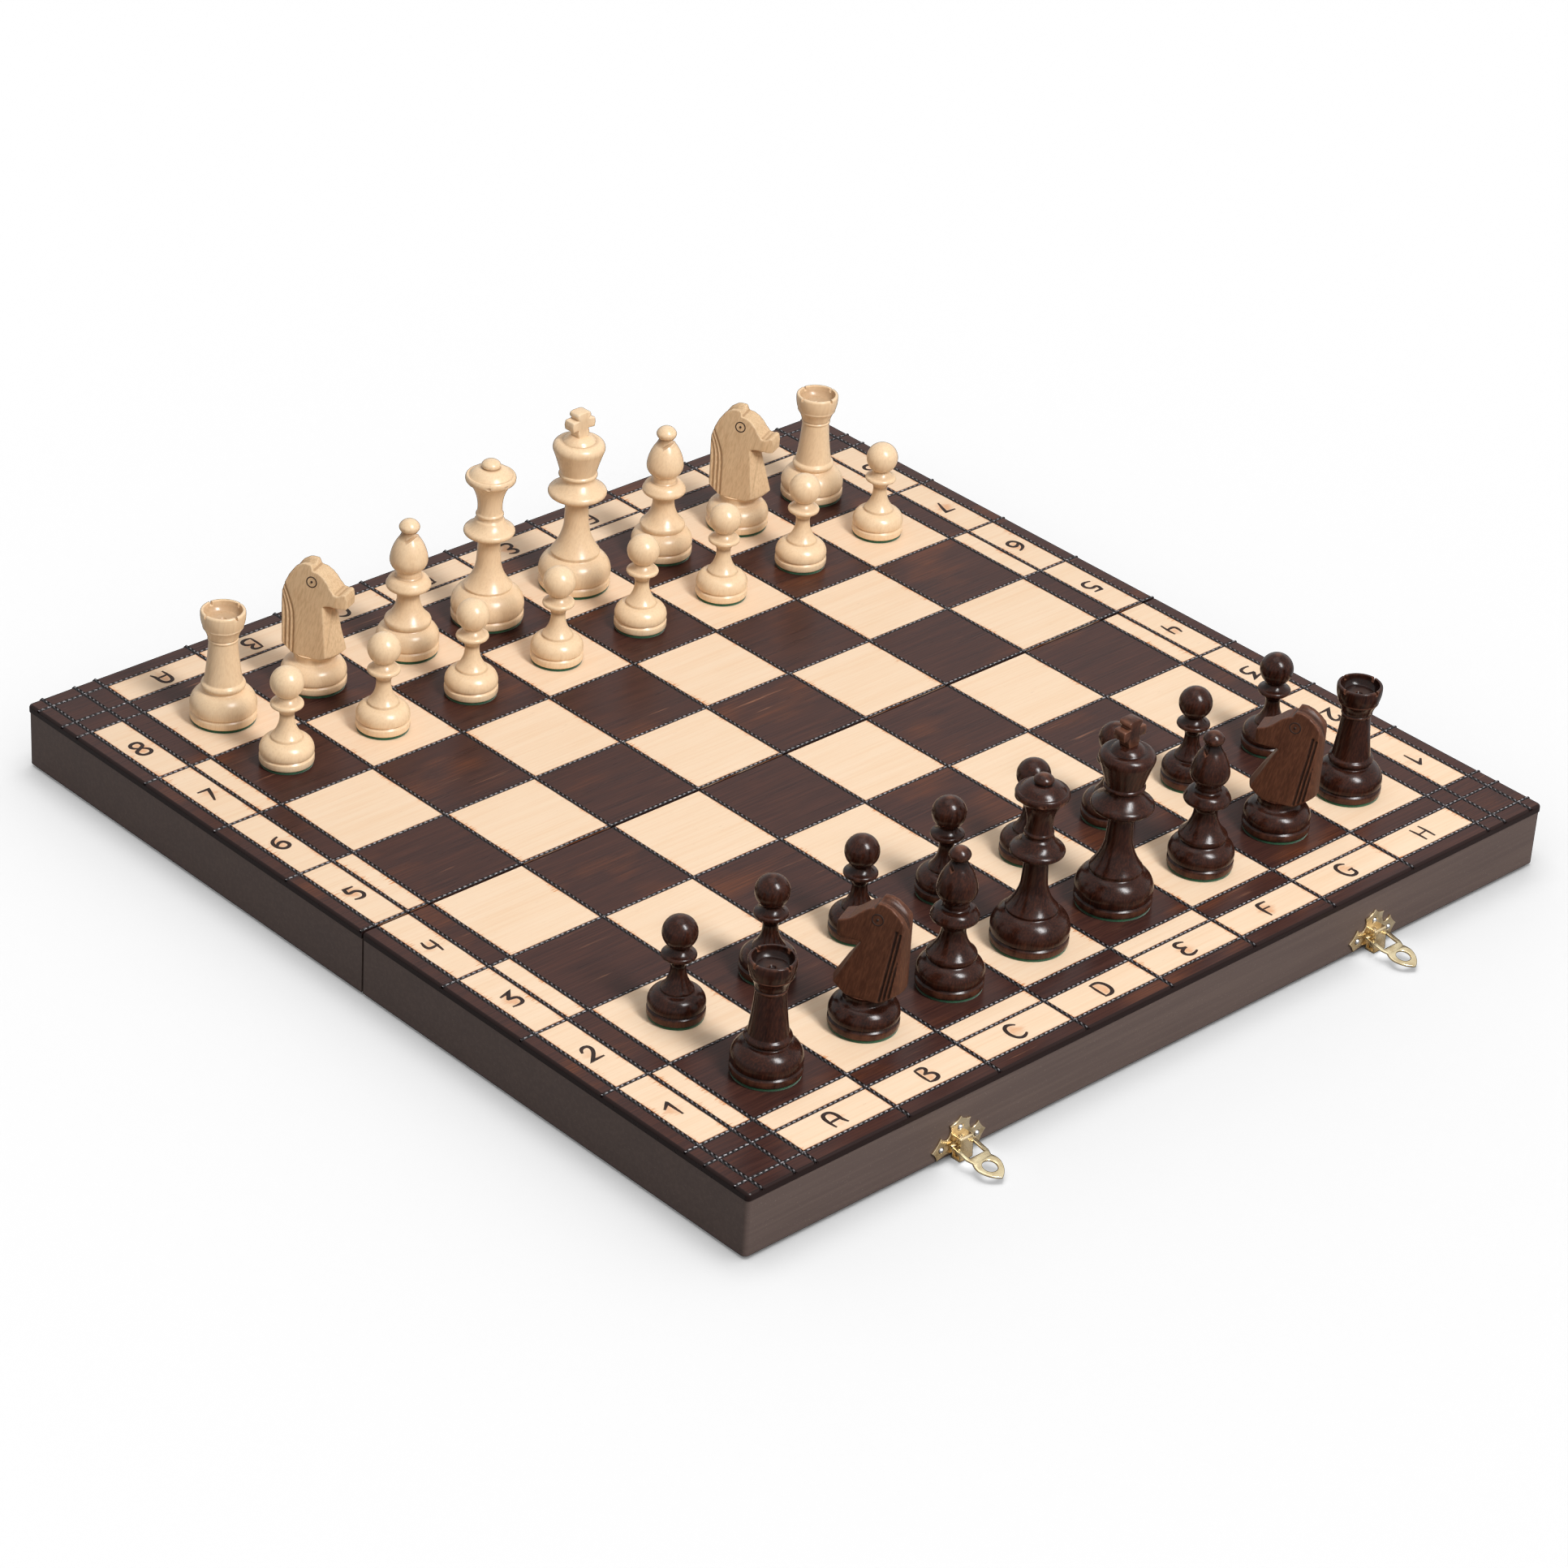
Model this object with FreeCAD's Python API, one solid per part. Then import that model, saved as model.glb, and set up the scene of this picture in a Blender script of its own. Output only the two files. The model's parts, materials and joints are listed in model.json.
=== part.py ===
import FreeCAD, Part
import math
import os

# A folding chess board that closes into a box, with its thirty-two men standing ready to play.
# +X runs from file A to file H, +Y from rank 1 to rank 8, +Z up. Millimetres.
# The origin is the centre of the foot of the whole set's bounding box.

# playing surface
square_across = 44.0     # a square along X
square_along = 43.0      # a square along Y
seam_row_extra = 2.0     # the row beside the seam is this much deeper
narrow_border = 9.8      # strip next to the squares
label_border = 15.2      # strip with the letters and numbers
outer_border = 6.5       # last strip, out to the edge
groove_width = 1.6       # rope grooves pressed in the panel
groove_depth = 1.0
panel_thickness = 3.0
panel_edge_round = 1.2

# box
board_thickness = 26.0   # from the rim to the playing surface
wall_thickness = 8.0
wall_inset = 0.3         # walls stand this far inside the panel's edge
corner_round = 1.8
seam_gap = 1.0
closed_rim_gap = 0.2     # left between the rims when the board is folded
lining_thickness = 1.2
lining_clearance = 0.3

# hinges at the seam
hinge_offset = 118.0     # from the middle of the board
hinge_length = 36.0
hinge_knuckles = 5
knuckle_gap = 0.2
barrel_radius = 1.25
pin_radius = 0.6
running_fit = 0.04
leaf_width = 6.4         # from the axis
leaf_thickness = 0.8
mortise_clearance = 0.15
screw_radius = 0.9
screw_head_radius = 1.7
screw_length = 7.0
screw_spacing = 24.0
screw_row = 3.9          # from the axis
fastener_clearance = 0.03

# latches on the front wall and catches on the back wall
latch_places = {"left": -106.5, "right": 112.0}
plate_thickness = 0.8
boss_width = 6.1
boss_depth = 4.4         # at its top
boss_lean = 0.6          # its foot stands this much further out
boss_bottom = -1.2       # from the rim
boss_top = 8.4
boss_round = 1.0
pivot_height = 5.1       # above the rim
pivot_depth = 2.1        # in front of the wall
bar_radius = 0.7
hasp_thickness = 0.8
hasp_rest_tilt = 11.3    # degrees below level
hasp_frame_half = 5.4
hasp_window_half = 3.65
window_reach = 7.9       # all reaches are measured from the pivot
neck_reach = 10.2
neck_half = 4.5
tongue_reach = 14.0
tongue_half = 5.45
tip_reach = 20.9
shoulder_swell = 0.35    # how far the tongue bulges beside the neck
ogive_fullness = 0.62
eye_reach = 14.4
hasp_eye_radius = 2.9
nail_radius = 0.55
nail_head_radius = 1.05
nail_head_height = 0.7
nail_length = 6.0
nail_spread = 8.7        # side nails from the plate's middle
nail_row = 4.3           # side nails above the rim
top_nail_rise = 6.2
knob_radius = 2.0
knob_head_radius = 2.35
knob_length = 3.6
knob_head_length = 1.2

# men
pad_thickness = 1.0
pad_inset = 0.5
cross_thickness = 5.4
rook_notch_width = 1.1
rook_notch_depth = 1.4
queen_nicks = 8
nick_width = 2.2
nick_depth = 0.9
nick_height = 49.2       # above the shoulder
crown_radius = 10.1
mitre_cut_width = 1.1
mitre_cut_slope = 45.0
mitre_cut_height = 37.6  # above the shoulder
mitre_cut_floor = -1.5   # how far from the axis the cut stops
facing = {("knight", "dark"): 114.0, ("knight", "light"): -66.0,
          ("bishop", "dark"): 180.0, ("bishop", "light"): -60.0}

# how far some men stand from the middle of their square
standing_offset = {
    "dark_rook_a": (1.1, -2.8), "dark_knight_b": (4.4, -2.2), "dark_bishop_c": (2.4, -2.8),
    "dark_queen_d": (1.8, 0.0), "dark_king_e": (1.8, 0.0), "dark_bishop_f": (2.3, -2.5),
    "dark_knight_g": (1.3, -1.7), "dark_pawn_h": (0.6, -1.2), "light_pawn_a": (-1.3, 1.8),
    "light_bishop_c": (1.8, -1.4), "light_king_e": (2.4, 0.4), "light_bishop_f": (4.2, -1.4),
    "light_knight_g": (2.7, -1.1), "light_rook_h": (1.9, -0.5), "light_pawn_h": (0.8, 1.0),
}

# turned profiles: the foot and the shoulder that it rises to, as radii and heights
foot_ring_top = 3.9
foot_groove_depth = 0.9
foot_edge_round = 0.8
men_sizes = {
    "pawn": {"foot": 10.6, "shoulder": 6.7, "shoulder_height": 11.0},
    "rook": {"foot": 13.1, "shoulder": 8.0, "shoulder_height": 13.3},
    "knight": {"foot": 13.0, "shoulder": 8.9, "shoulder_height": 11.4},
    "bishop": {"foot": 12.6, "shoulder": 9.2, "shoulder_height": 11.9},
    "queen": {"foot": 14.7, "shoulder": 10.3, "shoulder_height": 14.0},
    "king": {"foot": 14.7, "shoulder": 10.4, "shoulder_height": 14.1},
}
# the rest of each profile, as radius and height above the shoulder: a pair is the end of a straight
# cut, four numbers are an arc's middle and end, and one number is the top of a dome on the axis
upper_cuts = {
    "pawn": [(6.1, 0.2), (6.1, 1.0), (3.9, 4.4, 2.9, 10.6), (4.2, 12.7, 6.2, 14.0),
             (6.5, 14.8, 6.1, 15.6), (4.7, 16.3, 3.5, 17.7), (3.5, 18.4), (30.4,)],
    "rook": [(7.8, 0.7), (8.7, 1.9, 7.9, 3.3), (7.5, 3.6), (6.4, 11.7, 5.6, 21.1),
             (6.0, 21.7, 5.6, 22.3), (6.0, 22.9), (6.8, 25.3, 7.9, 27.1), (7.8, 27.5),
             (8.5, 30.1, 8.7, 33.5), (8.4, 34.1), (7.5, 34.1), (7.1, 31.9, 5.9, 30.3), (0.0, 29.9)],
    "knight": [(8.0, 0.6), (7.8, 1.5), (8.4, 2.6), (0.0, 2.6)],
    "bishop": [(8.7, 0.4), (9.3, 1.4, 9.1, 2.9), (6.0, 6.7, 4.5, 12.7), (5.6, 15.4, 8.9, 17.0),
               (9.4, 17.8, 8.9, 18.6), (7.3, 20.5, 5.0, 22.4), (4.3, 22.7), (4.7, 23.4, 4.3, 24.1),
               (4.4, 24.5), (7.0, 27.5, 7.5, 30.4), (6.3, 36.1, 3.0, 41.1), (2.8, 41.3),
               (3.8, 42.2, 4.1, 43.5), (46.4,)],
    "queen": [(9.6, 0.4), (9.9, 1.4), (6.4, 6.6, 4.9, 13.0), (4.5, 20.0), (5.8, 23.3, 9.7, 24.4),
              (10.3, 25.5, 9.7, 26.7), (7.4, 28.3, 5.9, 30.6), (5.1, 31.2), (5.1, 32.2),
              (5.6, 33.0, 5.1, 33.8), (4.95, 34.6), (5.4, 40.6, 7.2, 45.2), (8.2, 46.6, 9.6, 47.6),
              (10.1, 49.0, 9.5, 50.5), (8.7, 50.3), (6.4, 52.5, 3.3, 53.5), (3.8, 54.6, 3.2, 55.8),
              (57.0,)],
    "king": [(9.8, 0.4), (10.1, 1.7), (6.9, 7.1, 5.1, 13.4), (4.75, 20.9), (6.2, 25.5, 11.0, 26.9),
             (11.9, 28.2, 11.3, 29.6), (9.0, 31.4, 7.3, 33.3), (7.0, 33.9), (7.0, 35.2),
             (7.9, 36.1, 7.3, 37.1), (8.6, 41.9, 10.3, 46.9), (10.2, 49.6, 8.0, 51.1), (6.7, 50.9),
             (5.3, 52.6, 2.6, 53.5), (0.0, 53.5)],
}
# a knight's head from the side, as distance forward of its axis and height above its seat
head_outline = {
    "light": [(14.5, 0.0), (14.5, 9.5), (11.7, 16.5), (8.0, 21.5), (5.2, 24.1), (8.5, 24.9),
              (11.6, 24.6), (12.6, 24.0), (14.2, 23.4), (14.9, 24.6), (15.0, 28.0), (14.4, 30.4),
              (13.2, 30.7), (11.6, 29.8),
              (9.9, 30.0), (8.3, 32.0), (6.9, 34.1), (5.3, 35.9), (2.8, 37.3), (0.4, 37.7), (0.2, 38.4),
              (-0.5, 40.0), (-2.2, 40.2), (-4.2, 39.9), (-7.1, 37.9), (-9.5, 34.4), (-11.3, 30.4),
              (-12.6, 26.0), (-13.4, 17.0), (-14.5, 10.0), (-14.5, 0.0)],
    "dark": [(14.5, 0.0), (14.5, 3.0), (13.1, 5.6), (9.2, 12.7), (4.9, 19.3), (2.3, 23.4),
             (5.0, 23.0), (9.9, 22.5), (10.1, 21.9), (11.3, 22.1), (12.2, 24.0), (12.3, 27.5),
             (12.0, 29.4), (11.2, 29.7), (8.2, 30.8),
             (5.8, 32.7), (3.2, 35.2), (0.5, 36.9), (-1.3, 37.4), (-1.5, 38.2), (-2.2, 39.6), (-4.5, 39.7),
             (-7.4, 38.7), (-10.2, 36.5), (-12.0, 34.6), (-13.2, 31.5), (-13.7, 27.7), (-13.4, 21.0),
             (-14.5, 8.0), (-14.5, 0.0)],
}
head_shift = {"light": 0.9, "dark": -1.4}      # how far forward the head is glued on its foot
head_radius = 13.3       # of the turned block that the head is cut from
head_seat_radius = 8.2
head_cone_height = 5.2   # of the block's chamfered underside
head_block_height = 23.0  # of its round part; above it the block is shaped in plan
muzzle_reach = 15.2
muzzle_half = 3.4
cheek_reach = 4.0        # where the narrowing to the muzzle starts
flat_half_low = 8.2      # the sawn sides, at the seat
flat_half_high = 3.4     # and at the height below
flat_height = 45.0
# half of the cross, as distance from the axis and height above its seat
cross_half = [(2.4, 0.0), (2.9, 2.0), (2.4, 3.6), (5.6, 3.3), (6.0, 5.4), (5.6, 7.4),
              (2.5, 7.6), (3.6, 9.2), (3.2, 10.4), (1.6, 10.8)]
# half of a latch plate's outline, as distance from its middle and height above the rim
plate_half_outline = [(3.6, 1.2), (7.5, 0.9), (10.4, 0.4), (11.2, 2.6), (13.1, 4.6), (10.9, 6.2),
                      (9.2, 9.4), (7.6, 7.9), (6.0, 7.5), (4.8, 8.8), (4.4, 10.6), (5.0, 12.8),
                      (2.4, 12.8), (0.0, 15.2)]


# places worked out from the sizes above
pivot_z = barrel_radius                          # hinge axis, and the foot of the set at z = 0
rim_z = pivot_z + closed_rim_gap / 2
top_z = rim_z + board_thickness
panel_z = top_z - panel_thickness
half_width = 4 * square_across + narrow_border + label_border + outer_border
grid_length = 4 * square_along + seam_row_extra
half_length = grid_length + narrow_border + label_border + outer_border
wall_face = seam_gap / 2 + half_length - wall_inset     # outer face of an end wall, from the seam
tilt = math.radians(hasp_rest_tilt)
hasp_length = tip_reach * math.cos(tilt) + hasp_thickness / 2 * math.sin(tilt)
front_end = wall_face + pivot_depth + hasp_length
back_end = wall_face + knob_length
seam_y = (front_end - back_end) / 2
knob_height = eye_reach - pivot_height - closed_rim_gap  # so that the eye meets the knob when folded
eps = 0.01


def box(x0, x1, y0, y1, z0, z1):
    corner = FreeCAD.Vector(min(x0, x1), min(y0, y1), min(z0, z1))
    return Part.makeBox(abs(x1 - x0), abs(y1 - y0), abs(z1 - z0), corner)


def prism(points, direction):
    """A polygon of 3-D points pushed along a direction."""
    corners = [FreeCAD.Vector(*p) for p in points]
    face = Part.Face(Part.makePolygon(corners + corners[:1]))
    return face.extrude(FreeCAD.Vector(*direction))


def cylinder_x(radius, x0, x1, y, z):
    return Part.makeCylinder(radius, x1 - x0, FreeCAD.Vector(x0, y, z), FreeCAD.Vector(1, 0, 0))


def dome_middle(rim, pole):
    """The middle of the arc from a rim up to its pole, about a centre on the axis."""
    centre = (rim.z ** 2 + rim.x ** 2 - pole.z ** 2) / (2 * (rim.z - pole.z))
    radius = pole.z - centre
    angle = math.atan2(rim.x, rim.z - centre) / 2
    return FreeCAD.Vector(radius * math.sin(angle), 0, centre + radius * math.cos(angle))


def turned(start, cuts):
    """A body turned about Z from its outline: straight cuts, arcs and domes, closed along the axis."""
    here = FreeCAD.Vector(start[0], 0, start[1])
    edges = [Part.makeLine(FreeCAD.Vector(0, 0, start[1]), here)]
    for cut in cuts:
        end = FreeCAD.Vector(cut[-2] if len(cut) > 1 else 0, 0, cut[-1])
        if len(cut) == 1:
            middle = dome_middle(here, end)
            edges.append(Part.Arc(here, middle, end).toShape())
        elif len(cut) == 2:
            edges.append(Part.makeLine(here, end))
        else:
            middle = FreeCAD.Vector(cut[0], 0, cut[1])
            edges.append(Part.Arc(here, middle, end).toShape())
        here = end
    edges.append(Part.makeLine(here, FreeCAD.Vector(0, 0, start[1])))
    face = Part.Face(Part.Wire(edges))
    return face.revolve(FreeCAD.Vector(0, 0, 0), FreeCAD.Vector(0, 0, 1), 360)


def save(name, shapes):
    solids = [solid for shape in shapes for solid in shape.Solids]
    node = solids[0] if len(solids) == 1 else Part.makeCompound(solids)
    node.exportStep("parts/" + name + ".step")
    print(name, len(solids), "valid" if node.isValid() else "NOT VALID", round(node.Volume, 1))


# ---------------------------------------------------------------- board halves
# side is -1 for the near half and +1 for the far half

def across_lines():
    """Middles of the rope grooves that run along Y."""
    inner = [(file - 4) * square_across for file in range(9)]
    strips = [inner[-1] + narrow_border, inner[-1] + narrow_border + label_border]
    return [-x for x in reversed(strips)] + inner + strips


def along_lines(side):
    """Distances from the seam of the rope grooves that run along X; the far half holds the seam's own."""
    first = square_along + seam_row_extra
    lines = [first + row * square_along for row in range(4)]
    lines += [grid_length + narrow_border, grid_length + narrow_border + label_border]
    seam_line = seam_gap / 2 + groove_width / 2
    return [seam_line] + lines if side > 0 else lines


def groove_across(side, distance):
    y = seam_y + side * distance
    half = groove_width / 2
    points = [(-half_width - 1, y - half, top_z), (-half_width - 1, y + half, top_z),
              (-half_width - 1, y, top_z - groove_depth)]
    return prism(points, (2 * half_width + 2, 0, 0))


def groove_along(side, x):
    near = seam_y + side * (seam_gap / 2 - 1)
    far = side * (half_length + 2)
    half = groove_width / 2
    points = [(x - half, near, top_z), (x + half, near, top_z), (x, near, top_z - groove_depth)]
    return prism(points, (0, far, 0))


def top_panel(side):
    seam_edge = seam_y + side * seam_gap / 2
    outer_edge = seam_edge + side * half_length
    panel = box(-half_width, half_width, seam_edge, outer_edge, panel_z, top_z)
    corners = [edge for edge in panel.Edges
               if abs(edge.CenterOfMass.z - (panel_z + top_z) / 2) < eps
               and abs(edge.CenterOfMass.y - outer_edge) < eps]
    panel = panel.makeFillet(corner_round, corners)
    upper = []
    for edge in panel.Edges:
        on_top = all(abs(v.Z - top_z) < eps for v in edge.Vertexes)
        if on_top and not all(abs(v.Y - seam_edge) < eps for v in edge.Vertexes):
            upper.append(edge)
    panel = panel.makeFillet(panel_edge_round, upper)
    grooves = [groove_along(side, x) for x in across_lines()]
    grooves += [groove_across(side, distance) for distance in along_lines(side)]
    return panel.cut(grooves)


def wall_blank(side, place):
    """One mitred wall of a half's frame: 'end' is away from the seam, 'mid' is along it."""
    x_out = half_width - wall_inset
    x_in = x_out - wall_thickness
    seam_face = seam_y + side * seam_gap / 2
    seam_in = seam_face + side * wall_thickness
    end_face = seam_y + side * wall_face
    end_in = end_face - side * wall_thickness
    corners = {
        "end": [(-x_out, end_face), (x_out, end_face), (x_in, end_in), (-x_in, end_in)],
        "mid": [(-x_out, seam_face), (x_out, seam_face), (x_in, seam_in), (-x_in, seam_in)],
        "left": [(-x_out, seam_face), (-x_out, end_face), (-x_in, end_in), (-x_in, seam_in)],
        "right": [(x_out, seam_face), (x_out, end_face), (x_in, end_in), (x_in, seam_in)],
    }[place]
    wall = prism([(x, y, rim_z) for x, y in corners], (0, 0, panel_z - rim_z))
    outline = box(-x_out, x_out, seam_face, end_face, rim_z, panel_z)
    rounded = [edge for edge in outline.Edges
               if abs(edge.CenterOfMass.z - (rim_z + panel_z) / 2) < eps
               and abs(edge.CenterOfMass.y - end_face) < eps]
    return wall.common(outline.makeFillet(corner_round, rounded))


def tray_lining(side):
    x_in = half_width - wall_inset - wall_thickness - lining_clearance
    seam_in = seam_y + side * (seam_gap / 2 + wall_thickness + lining_clearance)
    end_in = seam_y + side * (wall_face - wall_thickness - lining_clearance)
    return box(-x_in, x_in, seam_in, end_in, panel_z - lining_thickness, panel_z)


# ---------------------------------------------------------------- hinges

def screw(x, y, grow):
    """A countersunk screw driven up into a rim; grow makes the hole for it."""
    head = Part.makeCone(screw_head_radius + grow, screw_radius + grow, leaf_thickness,
                         FreeCAD.Vector(x, y, rim_z))
    shank = Part.makeCylinder(screw_radius + grow, screw_length + grow,
                              FreeCAD.Vector(x, y, rim_z))
    return head.fuse(shank).removeSplitter()


def hinge_screws(side, grow=0.0):
    places = [(centre + half * screw_spacing / 2, seam_y + side * screw_row)
              for centre in (-hinge_offset, hinge_offset) for half in (-1, 1)]
    return [screw(x, y, grow) for x, y in places]


def hinge_leaf(side, centre):
    start = centre - hinge_length / 2
    pitch = hinge_length / hinge_knuckles
    own = 0 if side < 0 else 1
    leaf = box(start, start + hinge_length, seam_y, seam_y + side * leaf_width,
               rim_z, rim_z + leaf_thickness)
    clear = barrel_radius + knuckle_gap
    for knuckle in range(hinge_knuckles):
        x0 = start + knuckle * pitch
        if knuckle % 2 == own:
            leaf = leaf.fuse(cylinder_x(barrel_radius, x0 + knuckle_gap / 2,
                                        x0 + pitch - knuckle_gap / 2, seam_y, pivot_z))
        else:
            leaf = leaf.cut(box(x0 - knuckle_gap / 2, x0 + pitch + knuckle_gap / 2,
                                seam_y - side, seam_y + side * clear, 0, rim_z + 2 * leaf_thickness))
    leaf = leaf.cut(cylinder_x(pin_radius + running_fit, start - 1, start + hinge_length + 1,
                               seam_y, pivot_z))
    return leaf.cut(hinge_screws(side, fastener_clearance)).removeSplitter()


def hinge_pin(centre):
    half = hinge_length / 2
    return cylinder_x(pin_radius, centre - half, centre + half, seam_y, pivot_z)


def mid_wall(side):
    """The wall along the seam, let in for the leaves, the barrels and the screws."""
    wall = wall_blank(side, "mid")
    cuts = hinge_screws(side, fastener_clearance)
    for centre in (-hinge_offset, hinge_offset):
        x0 = centre - hinge_length / 2 - mortise_clearance
        x1 = centre + hinge_length / 2 + mortise_clearance
        cuts.append(box(x0, x1, seam_y, seam_y + side * (leaf_width + mortise_clearance),
                        rim_z, rim_z + leaf_thickness))
        cuts.append(cylinder_x(barrel_radius + knuckle_gap, x0, x1, seam_y, pivot_z))
    return wall.cut(cuts)


# ---------------------------------------------------------------- latches and catches

def nail_places(x, side):
    """Nails of a plate: two at the sides, and on a latch one more above the boss."""
    places = [(x - nail_spread, nail_row), (x + nail_spread, nail_row)]
    if side < 0:
        places.append((x, nail_row + top_nail_rise))
    return places


def nail(x, height, side, grow=0.0):
    face = seam_y + side * wall_face
    inward = FreeCAD.Vector(0, -side, 0)
    z = rim_z + height
    shank = Part.makeCylinder(nail_radius + grow, nail_length + plate_thickness,
                              FreeCAD.Vector(x, face + side * plate_thickness, z), inward)
    if grow:
        return shank
    # a domed head: the part of a ball that stands above the plate
    ball_radius = (nail_head_radius ** 2 + nail_head_height ** 2) / (2 * nail_head_height)
    surface = face + side * plate_thickness
    ball_middle = FreeCAD.Vector(x, surface + side * (nail_head_height - ball_radius), z)
    ball = Part.makeSphere(ball_radius, ball_middle)
    head = ball.common(box(x - 2, x + 2, surface, surface + side * 2, z - 2, z + 2))
    return head.fuse(shank).removeSplitter()


def nails(side, grow=0.0):
    return [nail(px, pz, side, grow) for x in latch_places.values() for px, pz in nail_places(x, side)]


def ornate_plate(x, side):
    """A trefoil plate lying on an end wall."""
    face = seam_y + side * wall_face
    right = [(x + px, face, rim_z + pz) for px, pz in plate_half_outline]
    left = [(x - px, face, rim_z + pz) for px, pz in reversed(plate_half_outline[:-1])]
    return prism(right + left, (0, side * plate_thickness, 0))


def latch_plate(x):
    plate = ornate_plate(x, -1)
    face = seam_y - wall_face
    start = x - boss_width / 2
    inner = face - plate_thickness / 2
    boss = prism([(start, inner, rim_z + boss_bottom), (start, inner, rim_z + boss_top),
                  (start, face - boss_depth, rim_z + boss_top),
                  (start, face - boss_depth - boss_lean, rim_z + boss_bottom)], (boss_width, 0, 0))
    front = [edge for edge in boss.Edges
             if edge.CenterOfMass.y < face - boss_depth + eps
             and abs(edge.CenterOfMass.x - x) < eps]
    boss = boss.makeFillet(boss_round, front)
    bore = cylinder_x(bar_radius + running_fit, x - boss_width, x + boss_width,
                      face - pivot_depth, rim_z + pivot_height)
    return plate.fuse(boss).cut([bore] + nails(-1, fastener_clearance)).removeSplitter()


def hasp(x):
    """Frame, neck and eyed tongue, laid level towards -Y and then tilted about its bar."""
    y = seam_y - wall_face - pivot_depth
    z = rim_z + pivot_height
    low = z - hasp_thickness / 2

    def point(side, half, reach):
        return FreeCAD.Vector(x + side * half, y - reach, low)

    edges = [Part.makeLine(point(-1, hasp_frame_half, -bar_radius),
                           point(1, hasp_frame_half, -bar_radius))]
    for side in (1, -1):
        outline = [Part.makeLine(point(side, hasp_frame_half, -bar_radius),
                                 point(side, hasp_frame_half, window_reach)),
                   Part.makeLine(point(side, hasp_frame_half, window_reach),
                                 point(side, neck_half, neck_reach)),
                   Part.Arc(point(side, neck_half, neck_reach),
                            point(side, (neck_half + tongue_half) / 2 + shoulder_swell,
                                  (neck_reach + tongue_reach) / 2),
                            point(side, tongue_half, tongue_reach)).toShape(),
                   Part.Arc(point(side, tongue_half, tongue_reach),
                            point(side, tongue_half * ogive_fullness,
                                  tongue_reach + (tip_reach - tongue_reach) * ogive_fullness),
                            point(side, 0, tip_reach)).toShape()]
        edges += outline if side > 0 else list(reversed(outline))
    face = Part.Face(Part.Wire(Part.sortEdges(edges)[0]))
    plate = face.extrude(FreeCAD.Vector(0, 0, hasp_thickness))
    window = box(x - hasp_window_half, x + hasp_window_half, y + 2 * bar_radius, y - window_reach,
                 low - 1, low + hasp_thickness + 1)
    eye = Part.makeCylinder(hasp_eye_radius, hasp_thickness + 2, FreeCAD.Vector(x, y - eye_reach, low - 1))
    bar = cylinder_x(bar_radius, x - hasp_frame_half, x + hasp_frame_half, y, z)
    body = plate.cut([window, eye]).fuse(bar).removeSplitter()
    body.rotate(FreeCAD.Vector(x, y, z), FreeCAD.Vector(1, 0, 0), hasp_rest_tilt)
    return body


def catch_plate(x):
    """The plate on the back wall, with the knob that the hasp's eye goes over."""
    face = seam_y + wall_face
    z = rim_z + knob_height
    out = FreeCAD.Vector(0, 1, 0)
    stem = Part.makeCylinder(knob_radius, knob_length, FreeCAD.Vector(x, face, z), out)
    head = Part.makeCylinder(knob_head_radius, knob_head_length,
                             FreeCAD.Vector(x, face + knob_length - knob_head_length, z), out)
    plate = ornate_plate(x, 1).fuse([stem, head])
    return plate.cut(nails(1, fastener_clearance)).removeSplitter()


# ---------------------------------------------------------------- men

def man_body(kind):
    """The turned part of a man, standing on its felt at the origin."""
    size = men_sizes[kind]
    foot = size["foot"]
    edge = foot_edge_round
    diagonal = edge * (1 - math.cos(math.pi / 4))
    groove_half = foot_groove_depth * 2 / 3
    dome_foot = foot_ring_top + 2 * groove_half
    bulge = math.sin(math.pi / 4)
    cuts = [(foot - diagonal, pad_thickness + diagonal, foot, pad_thickness + edge),
            (foot, foot_ring_top),
            (foot - foot_groove_depth, foot_ring_top + groove_half),
            (foot - foot_groove_depth / 5, dome_foot),
            (size["shoulder"] + (foot - size["shoulder"]) * bulge,
             dome_foot + (size["shoulder_height"] - dome_foot) * bulge,
             size["shoulder"], size["shoulder_height"])]
    shoulder_height = size["shoulder_height"]
    for cut in upper_cuts[kind]:
        if len(cut) == 4:
            cuts.append((cut[0], cut[1] + shoulder_height, cut[2], cut[3] + shoulder_height))
        elif len(cut) == 2:
            cuts.append((cut[0], cut[1] + shoulder_height))
        else:
            cuts.append((cut[0] + shoulder_height,))
    return turned((foot - edge, pad_thickness), cuts)


def seat_height(kind):
    """Where a carved head or cross is set on the turned part."""
    return men_sizes[kind]["shoulder_height"] + upper_cuts[kind][-1][-1]


def rook(body, colour):
    rim = body.BoundBox.ZMax
    reach = body.BoundBox.XMax
    half = rook_notch_width / 2
    floor = rim - rook_notch_depth
    notches = [box(-half, half, -reach, reach, floor, rim + 1),
               box(-reach, reach, -half, half, floor, rim + 1)]
    return [body.cut(notches)]


def queen(body, colour):
    """Carved nicks round the lower edge of the crown's rim."""
    top = men_sizes["queen"]["shoulder_height"] + nick_height
    nicks = []
    for index in range(queen_nicks):
        outside = crown_radius + nick_depth
        nick = prism([(-nick_width, outside, top), (nick_width, outside, top),
                      (0, crown_radius - nick_depth, top)], (0, 0, -2 * nick_width))
        nick.rotate(FreeCAD.Vector(0, 0, 0), FreeCAD.Vector(0, 0, 1), 360.0 * index / queen_nicks)
        nicks.append(nick)
    return [body.cut(nicks)]


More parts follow.
